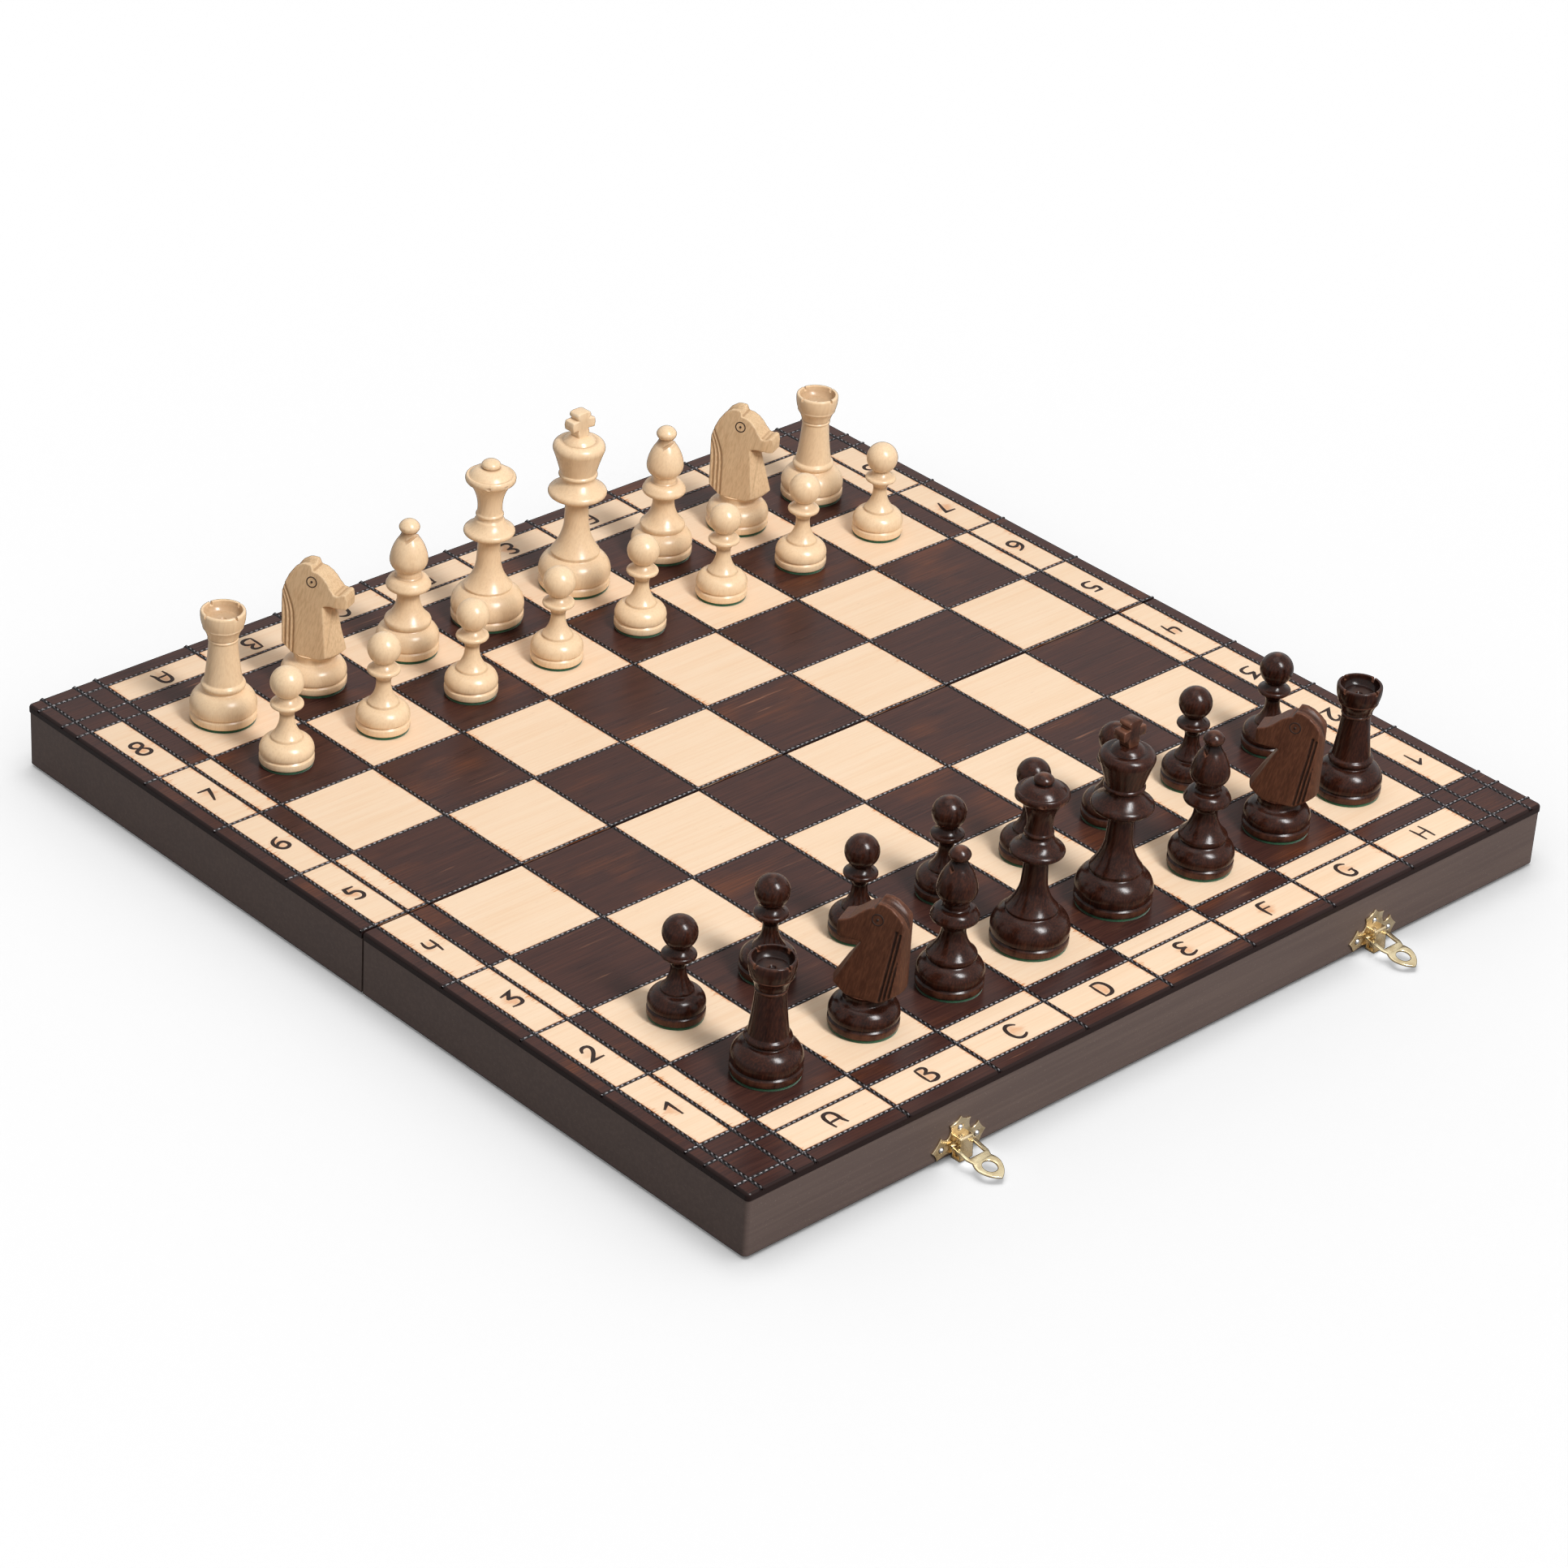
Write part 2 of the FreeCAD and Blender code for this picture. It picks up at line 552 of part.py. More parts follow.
def bishop(body, colour):
    """A slanting saw cut into one side of the mitre, towards +X before the man is turned."""
    cut = box(mitre_cut_floor, 10, -10, 10, -mitre_cut_width / 2, mitre_cut_width / 2)
    cut.rotate(FreeCAD.Vector(0, 0, 0), FreeCAD.Vector(0, 1, 0), -mitre_cut_slope)
    cut.translate(FreeCAD.Vector(0, 0, men_sizes["bishop"]["shoulder_height"] + mitre_cut_height))
    return [body.cut(cut)]


def king(body, colour):
    seat = seat_height("king")
    left = [(-x, -cross_thickness / 2, seat + z) for x, z in reversed(cross_half)]
    right = [(x, -cross_thickness / 2, seat + z) for x, z in cross_half]
    cross = prism(right + left, (0, cross_thickness, 0))
    return [body, cross]


def knight(body, colour):
    """A head sawn from a turned block, facing +X before the man is turned."""
    seat = seat_height("knight")
    block = turned((head_seat_radius, seat), [(head_radius, seat + head_cone_height),
                                              (head_radius, seat + head_block_height),
                                              (0.0, seat + head_block_height)])
    # above the chest: a round back that narrows to the muzzle
    back = Part.makeCylinder(head_radius, flat_height, FreeCAD.Vector(0, 0, seat + head_block_height - 3))
    low = seat + head_block_height - 3
    muzzle = prism([(0, -head_radius, low), (cheek_reach, -flat_half_low, low),
                    (muzzle_reach, -muzzle_half, low), (muzzle_reach, muzzle_half, low),
                    (cheek_reach, flat_half_low, low), (0, head_radius, low)],
                   (0, 0, flat_height))
    upper = back.common(box(-head_radius, 0, -head_radius, head_radius, 0, seat + flat_height)).fuse(muzzle)
    side = prism([(x, -head_radius, seat + z) for x, z in head_outline[colour]], (0, 2 * head_radius, 0))
    flats = prism([(-muzzle_reach, -flat_half_low, seat), (-muzzle_reach, flat_half_low, seat),
                   (-muzzle_reach, flat_half_high, seat + flat_height),
                   (-muzzle_reach, -flat_half_high, seat + flat_height)], (2 * muzzle_reach, 0, 0))
    head = block.fuse(upper).common(side).common(flats).removeSplitter()
    head.translate(FreeCAD.Vector(head_shift[colour], 0, 0))
    return [body, head]


shapers = {"rook": rook, "queen": queen, "bishop": bishop, "king": king, "knight": knight}


def man(kind, colour, place):
    body = man_body(kind)
    solids = shapers[kind](body, colour) if kind in shapers else [body]
    pad = Part.makeCylinder(men_sizes[kind]["foot"] - pad_inset, pad_thickness)
    solids.append(pad)
    turn = facing.get((kind, colour), 0.0)
    for solid in solids:
        solid.rotate(FreeCAD.Vector(0, 0, 0), FreeCAD.Vector(0, 0, 1), turn)
        solid.translate(FreeCAD.Vector(*place))
    return solids


def square_middle(file, rank):
    """The middle of a square: file 0 is A, rank 0 is 1."""
    x = (file - 3.5) * square_across
    row = abs(rank - 3.5) + 0.5                   # 1 is the row beside the seam
    side = -1 if rank < 4 else 1
    if row == 1:
        distance = (square_along + seam_row_extra) / 2
    else:
        distance = seam_row_extra + (row - 0.5) * square_along
    return x, seam_y + side * distance


back_row = ["rook", "knight", "bishop", "queen", "king", "bishop", "knight", "rook"]


def save_men():
    for colour, ranks in (("dark", (0, 1)), ("light", (7, 6))):
        for file in range(8):
            for kind, rank in ((back_row[file], ranks[0]), ("pawn", ranks[1])):
                name = colour + "_" + kind + "_" + "abcdefgh"[file]
                x, y = square_middle(file, rank)
                dx, dy = standing_offset.get(name, (0.0, 0.0))
                save(name, man(kind, colour, (x + dx, y + dy, top_z)))


def save_half(side):
    half = "near" if side < 0 else "far"
    end = "front" if side < 0 else "back"
    save(half + "_top_panel", [top_panel(side)])
    save(half + "_" + end + "_wall", [wall_blank(side, "end").cut(nails(side, fastener_clearance))])
    save(half + "_mid_wall", [mid_wall(side)])
    save(half + "_left_wall", [wall_blank(side, "left")])
    save(half + "_right_wall", [wall_blank(side, "right")])
    save(half + "_tray_lining", [tray_lining(side)])
    save(half + "_hinge_leaves", [hinge_leaf(side, -hinge_offset), hinge_leaf(side, hinge_offset)])
    save(half + "_hinge_screws", hinge_screws(side))


os.makedirs("parts", exist_ok=True)
save_half(-1)
save_half(1)
save("hinge_pins", [hinge_pin(-hinge_offset), hinge_pin(hinge_offset)])
save("latch_plates", [latch_plate(x) for x in latch_places.values()])
save("latch_nails", nails(-1))
save("left_hasp", [hasp(latch_places["left"])])
save("right_hasp", [hasp(latch_places["right"])])
save("catch_plates", [catch_plate(x) for x in latch_places.values()])
save("catch_nails", nails(1))
save_men()
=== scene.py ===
import cmath
import functools
import json
import math

import bmesh
import bpy
from mathutils import Matrix, Vector


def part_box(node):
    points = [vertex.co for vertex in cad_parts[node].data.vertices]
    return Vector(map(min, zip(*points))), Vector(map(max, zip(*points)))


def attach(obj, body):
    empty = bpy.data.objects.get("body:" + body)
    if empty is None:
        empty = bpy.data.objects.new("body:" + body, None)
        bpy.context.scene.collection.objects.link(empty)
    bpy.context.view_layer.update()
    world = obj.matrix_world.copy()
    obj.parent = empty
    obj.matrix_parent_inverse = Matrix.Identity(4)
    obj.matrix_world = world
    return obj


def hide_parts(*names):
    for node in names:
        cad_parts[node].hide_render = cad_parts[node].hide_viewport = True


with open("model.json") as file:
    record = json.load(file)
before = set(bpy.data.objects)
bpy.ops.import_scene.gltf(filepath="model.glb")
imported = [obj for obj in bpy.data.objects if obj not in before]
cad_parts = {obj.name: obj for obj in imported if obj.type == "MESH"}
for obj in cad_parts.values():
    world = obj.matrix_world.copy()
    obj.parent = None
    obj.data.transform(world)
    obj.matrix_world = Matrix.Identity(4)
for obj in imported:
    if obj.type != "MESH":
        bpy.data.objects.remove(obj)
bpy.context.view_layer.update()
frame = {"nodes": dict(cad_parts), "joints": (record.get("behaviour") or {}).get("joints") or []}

mm = 0.001
nodes = frame["nodes"]
fold = next(joint for joint in frame["joints"] if joint["name"] == "board_fold")
seamY = fold["pos_m"][1]
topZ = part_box("near_top_panel")[1].z
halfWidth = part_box("near_top_panel")[1].x
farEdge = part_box("far_top_panel")[1].y
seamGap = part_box("far_top_panel")[0].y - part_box("near_top_panel")[1].y
print("frame loaded:", len(nodes), "nodes")

# lines of the playing surface, in millimetres; the seam's row is a little deeper than the others
board = {
    "squareAcross": 44, "squareAlong": 43, "seamRowExtra": 2,
    "narrowBorder": 9.8, "labelBorder": 15.2,
    "grooveWidth": 1.6, "fileTwist": 0.92, "rankTwist": 0.74, "twistSink": 0.5, "twistPitch": 4.9,
    "stainedRim": 1.4,
}
across, along, extra = board["squareAcross"], board["squareAlong"], board["seamRowExtra"]
gridX, gridY = 4 * across, 4 * along + extra
stripsX, stripsY = ([grid + board["narrowBorder"], grid + board["narrowBorder"] + board["labelBorder"]]
                    for grid in (gridX, gridY))
seamLine = (seamGap / mm + board["grooveWidth"]) / 2          # the far half's own line beside the seam

turnedMen = {
    "footRingTop": 3.9, "footGroove": 0.9, "footEdge": 0.8, "pad": 1, "padInset": 0.4,
    "segments": 64, "curveStep": 0.75, "cornerRound": 0.2,
    "feet": {"pawn": (10.6, 6.7, 11), "rook": (13.1, 8, 13.3), "knight": (13, 8.9, 11.4),
             "bishop": (12.6, 9.2, 11.9), "queen": (14.7, 10.3, 14), "king": (14.7, 10.4, 14.1)},
}

lettering = {
    "size": 1.1, "endShare": 0.55, "strokeHalf": 0.8, "ridge": 0.4, "rise": 0.17, "hollow": 0.05, "sunk": 0.3,
    "fromSeam": 191.4, "fromMiddle": 193.4,
}


def added(name, data):
    thing = bpy.data.objects.new(name, data)
    bpy.context.collection.objects.link(thing)
    return thing


def facedOut(bm):
    bmesh.ops.recalc_face_normals(bm, faces=bm.faces)
    return bm


def asMesh(bm, name="part"):
    mesh = bpy.data.meshes.new(name)
    bm.to_mesh(mesh)
    bm.free()
    return mesh


def asBmesh(mesh):
    bm = bmesh.new()
    bm.from_mesh(mesh)
    return bm


# moves the faces of one bmesh into another
def pour(whole, part):
    mesh = asMesh(part)
    whole.from_mesh(mesh)
    bpy.data.meshes.remove(mesh)
    return whole


def joined(parts):
    whole = bmesh.new()
    for part in parts:
        pour(whole, part)
    return whole


def finishPiece(bm, name, body, material, smoothAngle=32, replaced=(), closed=True):
    mesh = asMesh(facedOut(bm) if closed else bm, name)
    for layer in material if isinstance(material, tuple) else (material,):
        mesh.materials.append(layer)
    mesh.shade_smooth()
    mesh.set_sharp_from_angle(angle=math.radians(smoothAngle))
    piece = added(name, mesh)
    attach(piece, body)
    if replaced:
        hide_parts(*replaced)


def rotation(degrees, axis):
    return Matrix.Rotation(math.radians(degrees), 4, axis)


def shift(x, y, z):
    return Matrix.Translation((x * mm, y * mm, z * mm))


def placed(bm, *matrices):
    for matrix in matrices:
        bmesh.ops.transform(bm, matrix=matrix, verts=bm.verts)
    return bm


def moved(bm, turn, place):
    return placed(bm, Matrix.Translation(place) @ rotation(turn, "Z"))


def evaluated(thing):
    mesh = bpy.data.meshes.new_from_object(thing.evaluated_get(bpy.context.evaluated_depsgraph_get()))
    bm = asBmesh(mesh)
    bpy.data.meshes.remove(mesh)
    return bm


# cuts other closed bmeshes out of this one
def carve(bm, cutters):
    scratch = [added("carve", asMesh(shape)) for shape in [bm] + cutters]
    for cutter in scratch[1:]:
        step = scratch[0].modifiers.new("cut", "BOOLEAN")
        step.operation, step.solver, step.object = "DIFFERENCE", "MANIFOLD", cutter
    result = evaluated(scratch[0])
    for thing in scratch:
        bpy.data.objects.remove(thing)
    return result


def block(x0, x1, y0, y1, z0, z1):
    bm = bmesh.new()
    size = Matrix.Diagonal(((x1 - x0), (y1 - y0), (z1 - z0), 1))
    place = Matrix.Translation(((x0 + x1) / 2, (y0 + y1) / 2, (z0 + z1) / 2))
    bmesh.ops.create_cube(bm, size=1, matrix=place @ size)
    return bm


def onlyVerts(items):
    return [item for item in items if isinstance(item, bmesh.types.BMVert)]


# a closed bar that starts from a flat outline
def prism(corners, reach):
    bm = bmesh.new()
    face = bm.faces.new([bm.verts.new(corner) for corner in corners])
    made = bmesh.ops.extrude_face_region(bm, geom=[face])["geom"]
    bmesh.ops.translate(bm, vec=reach, verts=onlyVerts(made))
    return facedOut(bm)


def bevelSharp(bm, degrees, width, steps=2):
    sharp = [edge for edge in bm.edges
             if len(edge.link_faces) == 2 and edge.calc_face_angle() > math.radians(degrees)]
    bmesh.ops.bevel(bm, geom=sharp, offset=width, affect="EDGES", segments=steps, profile=0.5,
                    material=-1, clamp_overlap=True)
    return bm


def fullSpin(bm, geom, steps):
    bmesh.ops.spin(bm, geom=geom, cent=(0, 0, 0), axis=(0, 0, 1), dvec=(0, 0, 0),
                   angle=math.tau, steps=steps, use_merge=True, use_duplicate=False)


# a solid turned about Z from (radius, height) points in mm, its edges sharper than some degrees rounded
def turned(points, steps, degrees, rounding):
    bm = bmesh.new()
    chain = [bm.verts.new((radius * mm, 0, height * mm)) for radius, height in points]
    line = [bm.edges.new(pair) for pair in zip(chain, chain[1:])]
    fullSpin(bm, chain + line, steps)
    bmesh.ops.remove_doubles(bm, verts=bm.verts, dist=1e-6)
    return bevelSharp(bm, degrees, rounding * mm)


def rod(radius, length, steps, matrix, rounding):
    bm = bmesh.new()
    bmesh.ops.create_cone(bm, cap_ends=True, segments=steps, radius1=radius * mm, radius2=radius * mm,
                          depth=length * mm, matrix=matrix)
    return bevelSharp(bm, 50, rounding * mm)


def mirrored(right):
    return right + [(-x, y) for x, y in reversed(right[:-1])]


# points along the circle through three points, without the first
def arcPoints(start, middle, end, step):
    a, b, c = (complex(*point) for point in (start, middle, end))
    ratio = (c - a) / (b - a)
    if abs(ratio.imag) < 1e-9:
        return [end]
    centre = a + (b - a) * (ratio - abs(ratio) ** 2) / (2j * ratio.imag)
    first, through, last = (cmath.phase(point - centre) for point in (a, b, c))
    sweep, radius = (last - first) % math.tau, abs(a - centre)
    if (through - first) % math.tau > sweep:
        sweep -= math.tau
    count = max(2, math.ceil(abs(sweep) * radius / step))
    points = [centre + cmath.rect(radius, first + sweep * i / count) for i in range(1, count + 1)]
    return [(point.real, point.imag) for point in points]


# a colour as a screen shows it, 0 to 255, as the linear colour that a shader takes
def screen(*colour):
    shares = [value / 255 for value in colour]
    return (*(share / 12.92 if share <= 0.04045 else ((share + 0.055) / 1.055) ** 2.4 for share in shares), 1)


# a node's output that can be reckoned with: every sign adds a maths node to its tree
class Wire:
    def __init__(self, socket):
        self.socket, self.tree = socket, socket.id_data

    def __add__(self, other):
        return maths("ADD", self, other)

    def __sub__(self, other):
        return maths("SUBTRACT", self, other)

    def __rsub__(self, other):
        return maths("SUBTRACT", other, self)

    def __mul__(self, other):
        return maths("MULTIPLY", self, other)

    def __truediv__(self, other):
        return maths("DIVIDE", self, other)

    def __mod__(self, other):
        return maths("MODULO", self, other)

    def __lt__(self, other):
        return maths("LESS_THAN", self, other)

    def __abs__(self):
        return maths("ABSOLUTE", self)


def feed(node, inputs):
    for key, value in inputs.items():
        if isinstance(value, Wire):
            node.id_data.links.new(value.socket, node.inputs[key])
        else:
            node.inputs[key].default_value = value
    return node


def put(tree, kind, inputs=None, output=0, **settings):
    node = tree.nodes.new(kind)
    for key, value in settings.items():
        setattr(node, key, value)
    return Wire(feed(node, inputs or {}).outputs[output])


def maths(operation, *values):
    tree = next(value.tree for value in values if isinstance(value, Wire))
    return put(tree, "ShaderNodeMath", dict(enumerate(values)), operation=operation)


# bounced rises from 0 to the second value and falls back, over and over
floored, bounced, least, most = (functools.partial(maths, operation) for operation in
                                 ("FLOOR", "PINGPONG", "MINIMUM", "MAXIMUM"))


# the value's place between low and high, clamped
def ranged(value, low, high, toLow=0, toHigh=1, smooth=False):
    inputs = {"Value": value, "From Min": low, "From Max": high, "To Min": toLow, "To Max": toHigh}
    kind = "SMOOTHSTEP" if smooth else "LINEAR"
    return put(value.tree, "ShaderNodeMapRange", inputs, interpolation_type=kind)


def blended(share, first, second):
    inputs = {0: share, 6: first, 7: second}
    return put(share.tree, "ShaderNodeMix", inputs, 2, data_type="RGBA", blend_type="MIX")


def mapped(place, **settings):
    return put(place.tree, "ShaderNodeMapping", {"Vector": place, **settings})


# noise from 0 to 1; stretch gives the share of the scale along each axis
def noisy(place, scale, detail=3, rough=0.5, stretch=None):
    if stretch:
        place = mapped(place, Scale=stretch)
    inputs = {"Vector": place, "Scale": scale, "Detail": detail, "Roughness": rough}
    return put(place.tree, "ShaderNodeTexNoise", inputs)


def outputsOf(wire):
    return [Wire(socket) for socket in wire.socket.node.outputs]


def axesOf(place):
    return outputsOf(put(place.tree, "ShaderNodeSeparateXYZ", {0: place}))


# how far a point lies above the board's face, in millimetres
def overBoard(place):
    return (axesOf(place)[2] - topZ) * 1000


def newGroup(name, *inputs):
    tree = bpy.data.node_groups.new(name, "ShaderNodeTree")
    for label in inputs:
        kind = {"Vector": "Vector", "Base": "Color", "Streak": "Color"}.get(label, "Float")
        tree.interface.new_socket(label, in_out="INPUT", socket_type="NodeSocket" + kind)
    start = tree.nodes.new("NodeGroupInput").outputs
    return [Wire(start[label]) for label in inputs]


def finishGroup(tree, outputs):
    for label in outputs:
        kind = "Color" if label == "Color" else "Float"
        tree.interface.new_socket(label, in_out="OUTPUT", socket_type="NodeSocket" + kind)
    feed(tree.nodes.new("NodeGroupOutput"), outputs)
    return tree


def grouped(group, inputs):
    return outputsOf(put(inputs["Vector"].tree, "ShaderNodeGroup", inputs, node_tree=group))


def shaderOf(material):
    return material.node_tree.nodes["Principled BSDF"]


# a material with one Principled shader, its constant values set on its own sockets
def newMaterial(name, settings):
    material = bpy.data.materials.new(name)
    material.use_nodes = True
    feed(shaderOf(material), settings)
    return material, put(material.node_tree, "ShaderNodeTexCoord", output="Object")


# colour, roughness and bump reach the material's shader
def dressed(material, colour, rough, height, strength, distance=0.0002):
    bump = put(material.node_tree, "ShaderNodeBump",
               {"Height": height, "Strength": strength, "Distance": distance})
    inputs = {"Base Color": colour, "Normal": bump}
    if rough:
        inputs["Roughness"] = rough
    feed(shaderOf(material), inputs)
    return material


# long fibres along X of the vector it is given, with darker streaks and short pores
def makeGrain():
    place, base, streak, share, fineness = newGroup("woodGrain", "Vector", "Base", "Streak", "Streak Share",
                                                    "Fineness")
    fibre = noisy(place, fineness * 900, 3, 0.5, (0.025, 1, 1))
    wide = noisy(place, fineness * 160, 4, 0.6, (0.08, 1, 1))
    streaks = ranged(wide + noisy(place, 38, 2, 0.5) * 0.35, 0.5, 0.95)
    share = (streaks * 0.5 + ranged(fibre, 0.42, 0.68) * 0.6) * share
    colour = blended(share, base, streak)
    return finishGroup(place.tree, {"Color": colour, "Fibre": fibre, "Streaks": streaks})


grain = makeGrain()


# the wood's colour, fibres and streaks; turnAxes turns it so that its fibres leave the X axis
def grained(place, stain, share, fineness, turnAxes=None):
    if turnAxes:
        place = mapped(place, Rotation=turnAxes)
    return grouped(grain, {"Vector": place, "Base": stains[stain], "Streak": stains[stain + "Streak"],
                           "Streak Share": share, "Fineness": fineness})


# which cells of the board are left light, and how far the nearest pressed line is, in millimetres
def makeSquares():
    place, = newGroup("boardSquares", "Vector")
    axes = axesOf(place)
    x, y, under = axes[0] * 1000, (axes[1] - seamY) * 1000, (topZ - axes[2]) * 1000
    ax, ay = abs(x), abs(y)
    # the file counts from the left edge, the row from the seam
    column = floored((x + 6 * across) / across)
    row = most(floored((ay - extra) / along), 0)
    checker = (column + row + (y < 0)) % 2
    insideX, insideY = ax < gridX, ay < gridY
    borderX, borderY = ax < stripsX[0], ay < stripsY[0]
    labelY = ((ay < stripsY[1]) - borderY) * insideX
    labelX = ((ax < stripsX[1]) - borderX) * insideY
    light = borderX * borderY * checker * most(insideX, insideY) + (labelX + labelY)
    # distances to the lines that run along Y, and to those that run along X
    file = bounced(ax, across / 2)
    rows = bounced(ay - extra, along / 2)
    firstRow = ay < along / 2
    rank = firstRow * abs(y - seamLine) + (1 - firstRow) * rows
    for lineX, lineY in zip(stripsX, stripsY):
        file, rank = least(file, abs(ax - lineX)), least(rank, abs(ay - lineY))
    rim = least(halfWidth / mm - ax, (farEdge - seamY) / mm - ay)
    # how far along its cell the nearest burnt sign is, and far away outside the lettered strips
    away = 99
    signX = across / 2 - bounced(ax, across / 2) + abs(ay - lettering["fromSeam"]) + (1 - labelY) * away
    signY = along / 2 - rows + abs(ax - lettering["fromMiddle"]) + (1 - labelX) * away
    return finishGroup(place.tree, {
        "Light": light, "File Distance": file, "Rank Distance": rank, "Sign Distance": least(signX, signY),
        "Rim Distance": least(rim, board["stainedRim"] - under)})


# colours as a screen shows them, 0 to 255
stains = {name: screen(*colour) for name, colour in {
    "boardLight": (242, 215, 186), "boardLightStreak": (234, 196, 158), "boardPore": (176, 128, 84),
    "boardDark": (54, 33, 30), "boardDarkStreak": (86, 52, 42), "boardWarm": (122, 68, 38),
    "boardScratch": (168, 116, 88), "scorch": (158, 84, 40), "scorchPale": (214, 140, 82),
    "char": (22, 15, 14), "rim": (36, 22, 20), "twist": (12, 9, 10),
    "twistPale": (34, 30, 33), "twistPaintedHighlight": (214, 208, 212),
    "burntHollow": (66, 42, 32), "burntRidge": (30, 18, 15),
    "eye": (20, 13, 12), "eyePale": (58, 38, 30), "felt": (6, 46, 26), "feltPale": (24, 98, 54),
    "wall": (94, 79, 74), "wallStreak": (114, 97, 89), "wallSpeck": (148, 134, 126),
    "darkMan": (32, 16, 12), "darkManStreak": (94, 50, 34), "darkManWear": (142, 94, 72),
    "darkHead": (72, 42, 30), "darkHeadStreak": (108, 68, 48),
    "lightMan": (246, 216, 178), "lightManStreak": (218, 178, 134), "lightManWear": (246, 230, 204),
    # the crease colours darken hollows on the men: stain and painted shade
    "lightHead": (230, 198, 158), "lightHeadStreak": (188, 148, 106), "lightCreaseStainAndShade": (150, 112, 76),
    "brass": (238, 218, 182), "brassDull": (198, 174, 132), "haspBrass": (228, 212, 174),
    "haspBrassDull": (192, 170, 130), "steel": (205, 205, 208), "steelDull": (140, 138, 136),
}.items()}


def makeBoardFace():
    material, place = newMaterial("boardFace", {"IOR": 1.5, "Specular IOR Level": 0.12})
    light, fileDistance, rankDistance, signDistance, rim = grouped(makeSquares(), {"Vector": place})
    lightWood, lightFibre, _ = grained(place, "boardLight", 0.6, 1.2)
    darkWood, darkFibre, darkStreaks = grained(place, "boardDark", 0.75, 1.5)
    # warm patches where the stain is thin, and long pale scratches
    patch = ranged(noisy(place, 34, 3, 0.55, (0.45, 1, 1)), 0.55, 0.78)
    darkWood = blended(patch * ranged(darkFibre, 0.35, 0.7, 0.25, 0.9), darkWood, stains["boardWarm"])
    scratch = noisy(place, 520, 4, 0.6, (0.045, 1, 1))
    rare = ranged(noisy(place, 30, 2, 0.5), 0.5, 0.66)
    darkWood = blended(ranged(scratch, 0.64, 0.74) * rare * 0.6, darkWood, stains["boardScratch"])
    pores = ranged(noisy(place, 1500, 2, 0.5, (0.16, 1, 1)), 0.69, 0.8)
    lightWood = blended(pores * 0.3, lightWood, stains["boardPore"])
    # scorched feathers run along the fibres from the lines that cross them
    fibres = noisy(place, 1500, 3, 0.65, (0.1, 1, 1))
    smudge = noisy(place, 75, 2, 0.5)
    reach = ranged(fibres, 0.42, 0.72) * ranged(smudge, 0.38, 0.66, 0.6, 4.2)
    feather = ranged(fileDistance - board["fileTwist"] - reach, -1.5, 0.1, 0.9, 0)
    lightWood = blended(feather, lightWood, stains["scorchPale"])
    smoke = ranged(signDistance + fibres * 7, 5.5, 9.5, 0.55, 0, True) * ranged(smudge, 0.36, 0.6)
    lightWood = blended(smoke, lightWood, stains["scorchPale"])
    # the line's own burnt edge, now strong and now faint
    distance = least(fileDistance - (board["fileTwist"] - board["rankTwist"]), rankDistance)
    edge = ranged(distance, 0.76, 1.1, 1, 0, True) * ranged(smudge, 0.32, 0.62, 0.25, 1)
    lightWood = blended(edge, lightWood, stains["scorch"])
    face = blended(light, darkWood, lightWood)
    face = blended(ranged(distance, 0.68, 0.82, 1, 0), face, stains["char"])
    face = blended(ranged(rim, 0.9, 1.25, 1, 0), face, stains["rim"])
    rough = light * 0.16 + ranged(darkStreaks, 0, 1, 0.26, 0.36)
    return dressed(material, face, rough, darkFibre * 0.6 + lightFibre, 0.15)


# the pressed lines: black, with a painted highlight, a pale colour on the top of each strand where it comes
# up
def makeTwist(name, radius, paintedHighlight):
    material, place = newMaterial(name, {"IOR": 1.5, "Specular IOR Level": 0.2})
    over = (axesOf(place)[2] - (topZ - board["twistSink"] * mm)) * 1000
    fine = noisy(place, 1300, 3, 0.6)
    base = blended(ranged(fine, 0.35, 0.7), stains["twist"], stains["twistPale"])
    # painted highlight: the upper crest of each strand is coloured pale, as a glint of light would look
    crest = ranged(over + (fine - 0.5) * 0.35, radius * 0.84, radius * 0.98)
    base = blended(crest * paintedHighlight, base, stains["twistPaintedHighlight"])
    return dressed(material, base, ranged(fine, 0.3, 0.7, 0.2, 0.4), fine, 0.3)


# charred ridges with a browner hollow, told apart by their height over the board
def makeBurnt():
    material, place = newMaterial("burntStroke", {"Roughness": 0.6, "Specular IOR Level": 0.2})
    fine = noisy(place, 1500, 3, 0.6)
    ridge = ranged(overBoard(place) + fine * 0.05, 0.06, 0.13)
    return dressed(material, blended(ridge, stains["burntHollow"], stains["burntRidge"]), None, fine, 0.4)


def makeEye():
    material, place = newMaterial("burntEye", {"Roughness": 0.7, "Specular IOR Level": 0.2})
    fine = noisy(place, 2500, 2, 0.5)
    return dressed(material, blended(fine, stains["eye"], stains["eyePale"]), None, fine, 0.3, 0.0001)


def makeWall():
    material, place = newMaterial("stainedWall", {"IOR": 1.45, "Specular IOR Level": 0.2})
    wood, fibre, streaks = grained(place, "wall", 0.5, 0.7)
    speck = ranged(noisy(place, 2000, 2, 0.5), 0.66, 0.76)
    wood = blended(speck * 0.45, wood, stains["wallSpeck"])
    return dressed(material, wood, ranged(streaks, 0, 1, 0.42, 0.52), fibre, 0.1)
